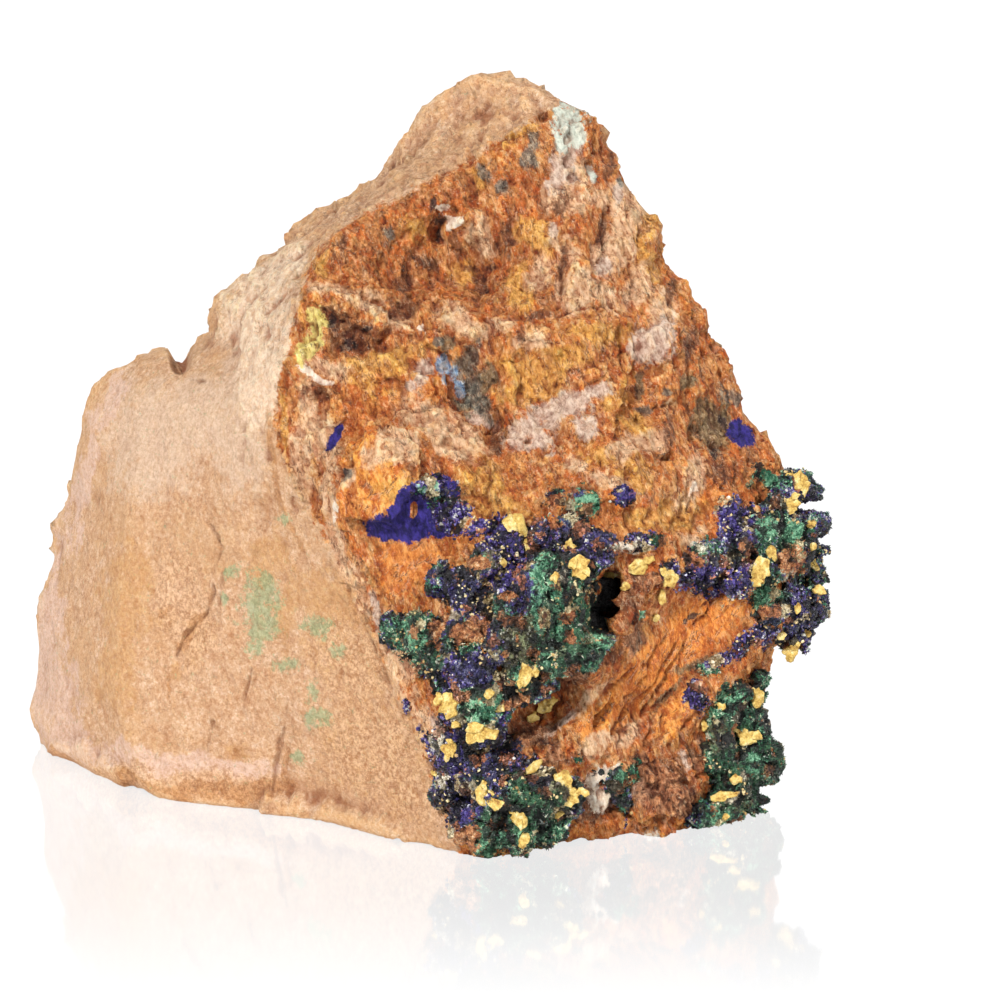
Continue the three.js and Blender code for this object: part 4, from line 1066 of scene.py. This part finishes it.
class Finish:
    """A material that is put together from nodes."""

    def __init__(self, name, roughness):
        self.material = bpy.data.materials.new(name)
        self.material.use_nodes = True
        self.tree = self.material.node_tree
        self.shader = self.tree.nodes["Principled BSDF"]
        self.shader.inputs["Roughness"].default_value = roughness
        self.place = self.add("TexCoord").outputs["Object"]

    def add(self, kind, inputs=(), **settings):
        node = self.tree.nodes.new("ShaderNode" + kind)
        for name, value in settings.items():
            setattr(node, name, value)
        for name, value in dict(inputs).items():
            self.put(node.inputs[name], value)
        return node

    def put(self, socket, value):
        if isinstance(value, bpy.types.NodeSocket):
            self.tree.links.new(value, socket)
        else:
            socket.default_value = value

    def value(self, name):
        return self.add("Attribute", attribute_name=name).outputs["Fac"]

    def sums(self, operation, *values):
        return self.add("Math", enumerate(values), operation=operation).outputs[0]

    def times(self, first, second):
        return self.sums("MULTIPLY", first, second)

    def scaled(self, value, by, plus):
        return self.sums("MULTIPLY_ADD", value, by, plus)

    def highest(self, first, *others):
        for other in others:
            first = self.sums("MAXIMUM", first, other)
        return first

    def vectors(self, operation, *values, **more):
        inputs = dict(enumerate(values)) | more
        return self.add("VectorMath", inputs, operation=operation).outputs[0]

    def drawn_out(self, degrees, stretch):
        """Places squeezed along a line on the front, so that a texture on them is drawn out along it."""
        turn = (0, math.radians(degrees), 0)
        turned = self.add("Mapping", {"Vector": self.place, "Rotation": turn}).outputs[0]
        return self.add("Mapping", {"Vector": turned, "Scale": (1 / stretch, 1, 1)}).outputs[0]

    def noise(self, size, detail=3.0, roughness=0.6, place=None, salt=0.0, output="Fac"):
        inputs = {"Scale": 1 / (size * MM), "Detail": detail, "Roughness": roughness, "W": salt}
        inputs["Vector"] = place or self.place
        return self.add("TexNoise", inputs, noise_dimensions="4D").outputs[output]

    def swings(self, size, detail, roughness, place=None, salt=0.0):
        """Noise on both sides of zero."""
        return self.sums("SUBTRACT", self.noise(size, detail, roughness, place, salt), 0.5)

    def strayed(self, size, distance, place=None):
        """Places that are pushed about by noise."""
        push = self.vectors("SUBTRACT", self.noise(size, 2, 0.6, place, 7.0, "Color"), (0.5, 0.5, 0.5))
        return self.vectors("ADD", place or self.place, self.vectors("SCALE", push, Scale=2 * distance * MM))

    def grains(self, size, place):
        return self.add("TexVoronoi", {"Vector": place, "Scale": 1 / (size * MM)}).outputs

    def chances(self, size, place):
        """Three chances from 0 to 1 for each grain."""
        return self.add("SeparateColor", {0: self.grains(size, place)["Color"]}).outputs

    def spread(self, value, low, high, to_low=0.0, to_high=1.0):
        inputs = {0: value, 1: low, 2: high, 3: to_low, 4: to_high}
        return self.add("MapRange", inputs, interpolation_type="SMOOTHSTEP").outputs[0]

    def mix(self, share, first, second, blend="MIX"):
        inputs = {0: share, 6: first, 7: second}
        return self.add("Mix", inputs, data_type="RGBA", blend_type=blend).outputs[2]

    def darken(self, share, base, *tone):
        return self.mix(share, base, colour(*tone), "MULTIPLY")

    def ramp(self, value, stops):
        node = self.add("ValToRGB", {0: value})
        elements = node.color_ramp.elements
        while len(elements) < len(stops):
            elements.new(0.5)
        for element, (at, rgb) in zip(elements, stops):
            element.position = at
            element.color = colour(*rgb)
        return node.outputs[0]

    def bump(self, height, distance, strength=1.0, under=None):
        inputs = {"Height": height, "Distance": distance * MM, "Strength": strength}
        if under is not None:
            inputs["Normal"] = under
        return self.add("Bump", inputs).outputs[0]

    def done(self, base, normal):
        self.put(self.shader.inputs["Base Color"], base)
        self.put(self.shader.inputs["Normal"], normal)
        return self.material


def lay_coat(f, base, name, coat, salt, shade, size=2.2, place=None, amount=6.0):
    """One coat over what is there, with its edge broken up by noise of its own."""
    dark, light, strength, soft, _ = coat
    field = f.scaled(f.swings(size, 8, 0.8, place, salt), amount, f.value(name))
    share = f.spread(field, 0.1 - soft * 0.5, 0.1 + soft * 0.5, 0.0, strength)
    return f.mix(share, base, f.mix(shade, colour(*dark), colour(*light)))


def chipped(f, size, place, amount, normal=None):
    """The way out of the surface, tipped by chance on each chip of it."""
    tip = f.vectors("SUBTRACT", f.grains(size, place)["Color"], (0.5, 0.5, 0.5))
    normal = normal or f.add("NewGeometry").outputs["Normal"]
    return f.vectors("NORMALIZE", f.vectors("ADD", normal, f.vectors("SCALE", tip, Scale=amount)))


def clumps(f):
    """Light and dark clumps of crystals, from a fine scale to a broad one."""
    fine = f.scaled(f.noise(1.0, 5, 0.75, f.drawn_out(*CRYSTAL_GRAIN)), 2.6, -1.25)
    return f.scaled(f.noise(3.2, 3, 0.6, salt=30.0), 1.6, f.sums("ADD", fine, -0.64))


# How the brown, cream and black lumps lie among the minerals: how rare each is, and its two colours.
JUMBLE = [
    (0.88, (66, 34, 20), (190, 118, 74)), (0.93, (130, 108, 68), (232, 214, 172)),
    (0.78, (5, 4, 5), (32, 26, 28)),
]
AZURITE_TONES = [
    (0.0, (5, 4, 8)), (0.3, (17, 12, 28)), (0.5, (38, 27, 72)), (0.66, (66, 50, 124)), (0.8, (106, 94, 152)),
    (0.92, (166, 164, 178)), (1.0, (216, 216, 202)),
]
MALACHITE_TONES = [
    (0.0, (4, 8, 6)), (0.3, (12, 28, 20)), (0.5, (29, 70, 49)), (0.66, (54, 114, 82)), (0.8, (102, 158, 122)),
    (0.92, (172, 200, 164)), (1.0, (222, 226, 198)),
]


def mineral_colours(f, chance, grainy):
    """The colours of the minerals, from where each lies and a chance from 0 to 1 for each crystal."""
    tone = f.scaled(chance, grainy, clumps(f))
    greener = f.sums("SUBTRACT", f.value("malachite"), f.value("azurite"))
    lean = f.scaled(f.swings(1.6, 7, 0.78, salt=11.0), 9.0, greener)
    base = f.mix(f.spread(lean, -0.1, 0.1), f.ramp(tone, AZURITE_TONES), f.ramp(tone, MALACHITE_TONES))
    shade = f.spread(tone, 0.15, 0.95)
    for number, (name, coat) in enumerate(MINERALS.items()):
        base = lay_coat(f, base, name, coat, 80 + 2.3 * number, shade, 1.5, amount=8.0)
    for lump, (rare, dark, light) in zip(f.chances(1.9, f.strayed(1.0, 1.1)), JUMBLE):
        share = f.spread(lump, rare, rare + 0.02, 0.0, 0.85)
        base = f.mix(share, base, f.mix(shade, colour(*dark), colour(*light)))
    speck = f.spread(f.scaled(f.noise(2.5, 3, 0.6, salt=31.0), 0.5, chance), 1.24, 1.28, 0.0, 0.85)
    base = f.mix(speck, base, colour(196, 194, 176))
    earth = f.spread(f.noise(1.1, 6, 0.8, salt=33.0), 0.59, 0.62, 0.0, 0.85)
    return f.mix(earth, base, f.mix(shade, colour(80, 40, 20), colour(196, 126, 76)))


def druse_colours(f, grain_size):
    """The minerals' colours where they run together, and how far each place is from a grain's middle."""
    grain = f.grains(grain_size, f.strayed(0.9, 0.25))
    chance = f.add("SeparateColor", {0: grain["Color"]}).outputs[0]
    return mineral_colours(f, chance, 0.55), grain["Distance"]


def stained_front(f, steep, broad, middle, rough, shade):
    """The colours of the stained front, with painted shade and highlight among them."""
    # Darker where the rough noise, which is also the bump, is low and lighter where it is high: partly the
    # front's own mottling, partly painted shade and highlight.
    front = f.ramp(f.scaled(middle, 0.45, f.times(rough, 0.55)), [
        (0.39, (138, 74, 34)), (0.45, (186, 114, 58)), (0.5, (214, 146, 84)), (0.55, (232, 174, 116)),
        (0.61, (248, 216, 174)),
    ])
    front = f.mix(f.spread(broad, 0.44, 0.6, 0.0, 0.5), front, colour(214, 138, 62))
    for number, (name, coat) in enumerate(({"plane": PLANE, "bright": BRIGHT} | COATS).items()):
        size = 1.3 if coat[3] < 0.95 else 2.4
        front = lay_coat(f, front, name, coat, 3.1 * number, shade, size, steep)
    return front


def tan_side(f):
    """The colours of the tan side: even, with a little darker grain."""
    shade = f.spread(f.noise(0.6, 6, 0.85, salt=5.5), 0.41, 0.59)
    fine = f.times(f.noise(0.6, 5, 0.85, salt=2.0), 0.75)
    tan = f.ramp(f.scaled(f.noise(3.0, 5, 0.7, salt=2.5), 0.25, fine), [
        (0.38, (178, 124, 84)), (0.46, (204, 155, 114)), (0.53, (218, 176, 139)), (0.61, (240, 208, 178)),
    ])
    tan = f.mix(f.spread(f.noise(12, 4, 0.6, salt=9.0), 0.42, 0.62, 0.0, 0.35), tan, colour(206, 158, 108))
    flecks = f.spread(f.noise(0.6, 5, 0.8, f.drawn_out(10, 1.6), salt=4.0), 0.56, 0.62, 0.0, 0.5)
    tan = f.mix(flecks, tan, colour(150, 98, 60))
    for number, (name, coat) in enumerate(SIDE_COATS.items()):
        size, amount = (0.9, 9.0) if name in ("malachite_film", "sandy") else (2.2, 6.0)
        tan = lay_coat(f, tan, name, coat, 60 + 3.1 * number, shade, size, None, amount)
    return tan


def painted_facet_shading(f, base, share, size, steep):
    """Lighter and darker facets by chance: painted light and shade of facets."""
    chances = f.chances(size, f.strayed(size, 0.5 * size, steep))
    light = f.times(f.spread(chances[0], 0.6, 1.0, 0.0, 0.4), share)
    base = f.mix(light, base, colour(255, 226, 186), "SOFT_LIGHT")
    return f.darken(f.times(f.spread(chances[1], 0.4, 0.0, 0.0, 0.55), share), base, 170, 104, 60)


def painted_creases(f, base, place, size, share, salt):
    """Thin creases of painted shade with a painted highlight on a lip on one side, drawn out with the grain
    and broken off by chance.
    """
    height = f.swings(size, 4, 0.65, place, salt)
    here = f.times(f.spread(f.noise(2.2, 3, salt=salt + 1), 0.46, 0.56), share)
    lip = f.times(f.spread(height, 0.05, 0.012, 0.0, 0.25), f.spread(height, -0.004, 0.008))
    base = f.mix(f.times(lip, here), base, colour(255, 228, 190))
    near = f.sums("ABSOLUTE", f.sums("ADD", height, 0.006))
    return f.mix(f.times(f.spread(near, 0.018, 0.004, 0.0, 0.85), here), base, colour(96, 48, 22))


def stony_share(f, edge, plane):
    """Where the stone is rough to look at: the front and the cap, but less on the plane and pale patches."""
    height = f.add("SeparateXYZ", {0: f.place}).outputs[2]
    stony = f.highest(f.spread(edge, -0.1, 0.1, 1.0, 0.25), f.spread(height, 0.06, 0.074, 0.0, 0.6))
    lilac = f.sums("SUBTRACT", f.value("lilac"), 0.3)
    calm = f.highest(plane, f.value("mint"), f.value("white"), lilac)
    return f.times(stony, f.spread(calm, -0.1, 0.3, 1.0, 0.4))


def textured(f, base, stony, plane, rough, grain, steep):
    """Painted light and shade: lighter and darker facets, painted shade in crevices and creases, painted
    highlights on crests, and painted glints and dark grains.
    """
    base = painted_facet_shading(f, base, stony, 0.9, steep)
    # Painted shade where the rough noise, which is also the bump, is low, and a painted highlight where it is
    # high.
    base = f.darken(f.times(f.spread(rough, 0.45, 0.37, 0.0, 0.8), stony), base, 134, 70, 36)
    base = f.mix(f.times(f.spread(rough, 0.55, 0.66, 0.0, 0.4), stony), base, colour(252, 216, 172))
    base = painted_creases(f, base, f.drawn_out(*STEEP_CREASES), 2.6, f.times(stony, 0.75), 17.0)
    base = painted_creases(f, base, f.drawn_out(*GROOVE_CREASES), 1.7, f.spread(plane, 0.0, 0.3), 21.0)
    everywhere = f.highest(stony, 0.4)
    # Painted glints where the fine grain, which is also the fine bump, is high, and painted shade in its low
    # places.
    base = f.mix(f.times(f.spread(grain, 0.58, 0.68, 0.0, 0.45), everywhere), base, colour(255, 232, 200))
    return f.darken(f.times(f.spread(grain, 0.42, 0.34, 0.0, 0.5), everywhere), base, 150, 88, 50)


def shaded_relief(f, base, middle):
    """Painted shade in the seams and hollows, and a painted highlight on the ridges."""
    seam = f.times(f.spread(f.value("seam"), 0.0, 1.0, 0.0, 0.6), f.spread(middle, 0.4, 0.6, 1.0, 0.2))
    base = f.mix(seam, base, colour(126, 78, 48))
    hollow = f.value("hollow")
    base = f.darken(f.spread(hollow, 0.0, -1.0, 0.0, 0.7), base, 160, 96, 58)
    return f.mix(f.spread(hollow, 0.1, 1.0, 0.0, 0.5), base, colour(255, 236, 214), "SOFT_LIGHT")


def stone_finish():
    f = Finish("iron_stained_stone", 0.75)
    f.shader.inputs["Specular IOR Level"].default_value = 0.35
    steep = f.drawn_out(*STEEP)
    broad, middle = f.noise(9, 4), f.noise(2.2, 6, 0.7, steep)
    rough, grain = f.noise(0.7, 6, 0.8, steep, salt=5.0), f.noise(0.38, 3, 0.75)
    # The coats' darker colour falls in the bump's low places: partly their own mottling, partly painted
    # shade.
    shade = f.spread(rough, 0.4, 0.6)
    edge = f.scaled(f.swings(2.0, 6, 0.75, salt=6.0), 1.6, f.value("side"))
    front = stained_front(f, steep, broad, middle, rough, shade)
    base = f.mix(f.spread(edge, -0.05, 0.05), front, tan_side(f))
    back = f.ramp(f.sums("ADD", f.times(broad, 0.65), f.times(rough, 0.35)), [
        (0.38, (168, 104, 58)), (0.45, (206, 150, 104)), (0.52, (224, 180, 140)), (0.62, (238, 206, 174)),
    ])
    base = f.mix(f.value("behind"), base, back)
    # Painted shade in the grooves of the orange plane.
    base = f.mix(f.spread(f.value("groove"), 0.1, 0.9, 0.0, 0.7), base, colour(150, 72, 32))
    plane = f.highest(f.value("plane"), f.value("bright"))
    stony = stony_share(f, edge, plane)
    base = textured(f, base, stony, plane, rough, grain, steep)
    base = shaded_relief(f, base, middle)
    base = lay_coat(f, base, "azurite_film", FILM, 40.0, shade, 1.2)
    base = minerals_on_stone(f, base)
    bumps = f.bump(rough, 0.6, 1.0, tipped(f, stony, steep))
    return f.done(base, f.bump(grain, 0.3, 0.8, bumps))


def minerals_on_stone(f, base):
    """The minerals where they are thick on the stone itself, but not where it is bare."""
    tones, _ = druse_colours(f, 0.42)
    lies = f.highest(f.value("azurite"), f.value("malachite"))
    lies = f.sums("MINIMUM", lies, f.times(f.value("bare"), -1.0))
    field = f.scaled(f.swings(1.8, 8, 0.8, salt=20.0), 6.0, lies)
    return f.mix(f.spread(field, 0.1, 0.25), base, tones)


def tipped(f, share, steep):
    """Chips of two sizes, on the front more than on the tan side."""
    large = chipped(f, 1.8, f.strayed(1.2, 0.5, steep), 0.9)
    small = chipped(f, 0.6, f.strayed(0.6, 0.25, steep), 1.3, large)
    plain = f.add("NewGeometry").outputs["Normal"]
    mixed = f.add("Mix", {0: share, 4: plain, 5: small}, data_type="VECTOR").outputs[1]
    return f.vectors("NORMALIZE", mixed)


def crust_finish():
    f = Finish("druse", 0.45)
    base, inside = druse_colours(f, 0.4)
    bare = f.scaled(f.swings(1.6, 7, 0.78, salt=13.0), 5.0, f.value("bare"))
    earth = f.ramp(f.noise(0.8, 6, 0.8, salt=14.0), [
        (0.38, (84, 40, 22)), (0.46, (150, 86, 48)), (0.54, (204, 136, 84)), (0.62, (236, 196, 156)),
    ])
    base = f.mix(f.spread(bare, 0.1, 0.3), base, earth)
    hollow = f.value("hollow")
    # Painted shade in the crust's hollows and a painted highlight on its ridges.
    base = f.darken(f.spread(hollow, 0.1, -0.6, 0.0, 0.9), base, 56, 46, 44)
    base = f.mix(f.spread(hollow, 0.2, 1.0, 0.0, 0.45), base, colour(225, 240, 225), "SOFT_LIGHT")
    # Near black in the deep hole: painted shadow.
    base = f.mix(f.spread(f.value("mouth"), -0.2, 0.3), base, colour(12, 8, 7))
    bumps = f.bump(f.noise(0.8, 5, 0.75), 0.7, 1.0, chipped(f, 0.4, f.strayed(0.9, 0.25), 1.5))
    return f.done(base, f.bump(f.sums("SUBTRACT", 1.0, inside), 0.3, 0.9, bumps))


def crystal_finish(name, roughness):
    f = Finish(name, roughness)
    return f.done(mineral_colours(f, f.value("tint"), 0.6), f.bump(f.noise(0.3, 2), 0.06, 0.5))


def crumb_finish():
    f = Finish("cream_crumb", 0.7)
    base = f.ramp(f.scaled(f.noise(0.9, 4, 0.7), 1.0, f.scaled(f.value("tint"), 0.5, -0.3)), [
        (0.0, (120, 88, 52)), (0.3, (184, 152, 96)), (0.6, (218, 198, 146)), (1.0, (240, 230, 204)),
    ])
    return f.done(base, f.bump(f.noise(0.3, 3), 0.1, 0.6))


def cream_finish():
    f = Finish("cream_flake", 0.7)
    small, grain = f.noise(1.3, 5, 0.7), f.noise(0.35, 3, 0.7)
    base = f.ramp(small, [
        (0.36, (150, 106, 42)), (0.45, (200, 164, 80)), (0.54, (222, 194, 112)), (0.66, (240, 222, 166)),
    ])
    # Painted shade in the flakes' hollows and in the low places of the fine grain, which is also their bump.
    base = f.darken(f.spread(f.value("hollow"), 0.0, -0.8, 0.0, 0.85), base, 130, 92, 50)
    base = f.darken(f.spread(grain, 0.3, 0.55, 0.5, 0.0), base, 150, 110, 60)
    return f.done(base, f.bump(grain, 0.35, 0.8, f.bump(small, 0.4, 0.6)))


# ---------------------------------------------------------------- the studio

WHITE = (1, 1, 1, 1)
FLOOR_SIZE = 8


def make_floor():
    """A white studio floor with a faint gloss, evenly bright to the camera."""
    bpy.ops.mesh.primitive_plane_add(size=FLOOR_SIZE)
    floor = bpy.context.object
    floor.name = "floor"
    f = Finish("pale_floor", 0.5)
    f.shader.inputs["Base Color"].default_value = (0.9, 0.9, 0.9, 1)
    lit = f.add("Emission", {"Color": WHITE, "Strength": 1.1}).outputs[0]
    gloss = f.add("BsdfGlossy", {"Color": WHITE, "Roughness": 0.06}).outputs[0]
    along = f.add("SeparateXYZ", {0: f.place}).outputs["Y"]
    share = f.spread(along, -0.118, -0.045, 0.0, 0.28)
    bright = f.add("MixShader", {0: share, 1: lit, 2: gloss}).outputs[0]
    seen = f.add("LightPath").outputs["Is Camera Ray"]
    mixed = f.add("MixShader", {0: seen, 1: f.shader.outputs[0], 2: bright}).outputs[0]
    f.put(f.tree.nodes["Material Output"].inputs["Surface"], mixed)
    floor.data.materials.append(f.material)


def make_world():
    """Soft white light from all round, and white behind the specimen."""
    world = bpy.context.scene.world or bpy.data.worlds.new("studio")
    bpy.context.scene.world = world
    world.use_nodes = True
    nodes, links = world.node_tree.nodes, world.node_tree.links
    soft, white = nodes["Background"], nodes.new("ShaderNodeBackground")
    for light, strength in (soft, 0.36), (white, 1.05):
        light.inputs["Color"].default_value = WHITE
        light.inputs["Strength"].default_value = strength
    path = nodes.new("ShaderNodeLightPath")
    diffuse = nodes.new("ShaderNodeMixShader")
    links.new(path.outputs["Is Diffuse Ray"], diffuse.inputs[0])
    links.new(white.outputs[0], diffuse.inputs[1])
    links.new(soft.outputs[0], diffuse.inputs[2])
    links.new(diffuse.outputs[0], nodes["World Output"].inputs["Surface"])


def add_sun(name, x, y, z, strength, softness):
    """A far light that shines from a direction."""
    turn = Vector((-x, -y, -z)).to_track_quat("-Z", "Y").to_euler()
    bpy.ops.object.light_add(type="SUN", location=(x, y, z), rotation=turn)
    light = bpy.context.object
    light.name = name
    light.data.energy = strength
    light.data.angle = math.radians(softness)


def make_studio():
    make_floor()
    make_world()
    add_sun("key", -0.4, -0.95, 0.85, 3.65, 6)
    add_sun("fill", 0.8, -0.7, 0.3, 1.1, 35)
    add_sun("back", 0.6, 0.8, 0.9, 0.8, 30)
    view = bpy.context.scene.view_settings
    view.view_transform = "Standard"
    view.look = "None"


# ---------------------------------------------------------------- putting it together


def wishes(piece, only_thick):
    """Where blue crystals, green crystals and crumbs are wished for on a piece."""
    blue, green = kept(piece, "azurite"), kept(piece, "malachite")
    at = coordinates(piece)
    chance = fractal(at, 2.4 * MM, 3, 300)
    taken = [kept(piece, name) + 0.4 * chance for name in ("bare", "earthy")]
    taken += [kept(piece, name) for name in ("painted_gap_shadow", "mouth")]
    free = 1 - smoothstep(-0.3, 0.2, np.max(taken, axis=0))
    if only_thick:
        free *= smoothstep(0.0, 0.4, np.maximum(blue, green) + 0.5 * chance)
    proud = free * smoothstep(-0.5, 0.2, kept(piece, "hollow"))
    greener = smoothstep(-0.2, 0.2, green - blue + 0.9 * chance)
    return proud * (1 - greener), proud * greener, free * smoothstep(0.15, 0.5, noise(at, 3.5 * MM, 310))


def finished(piece, material, slot, *nodes):
    piece.data.materials.clear()
    piece.data.materials.append(material)
    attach(piece, "root")
    if nodes:
        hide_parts(*nodes)


add_camera()
make_studio()
stone = make_stone()
stone_tree = tree_of(stone)
crusts = {node: make_crust(node, name, stone_tree) for node, name in CRUSTS.items()}
ground = [stone, *crusts.values()]
wished = [wishes(piece, piece is stone) for piece in ground]
blues, greens, creams = (list(zip(ground, wish)) for wish in zip(*wished))
azurite = grow("azurite_crystals", blade(), blues, 5.0, 0.9, (0.3, 0.3, 0.36), 1)
malachite = grow("malachite_crystals", needle(), greens, 10.0, 1.0, (0.2, 0.2, 0.32), 2)
crumbs = grow("cream_crumbs", crumb(), creams, 0.6, 0.6, (0.42, 0.38, 0.3), 3)
flakes = make_flakes(tree_of(*ground))

finished(stone, stone_finish(), "stone", "matrix_rock")
druse = crust_finish()
for node, crust in crusts.items():
    finished(crust, druse, "azurite" if node == "right_crust" else "malachite", node)
for pieces, material, slot in (
    (azurite, crystal_finish("azurite", 0.3), "azurite"),
    (malachite, crystal_finish("malachite", 0.4), "malachite"),
    (crumbs, crumb_finish(), "stone"), ([flakes], cream_finish(), "stone"),
):
    for piece in pieces:
        finished(piece, material, slot)
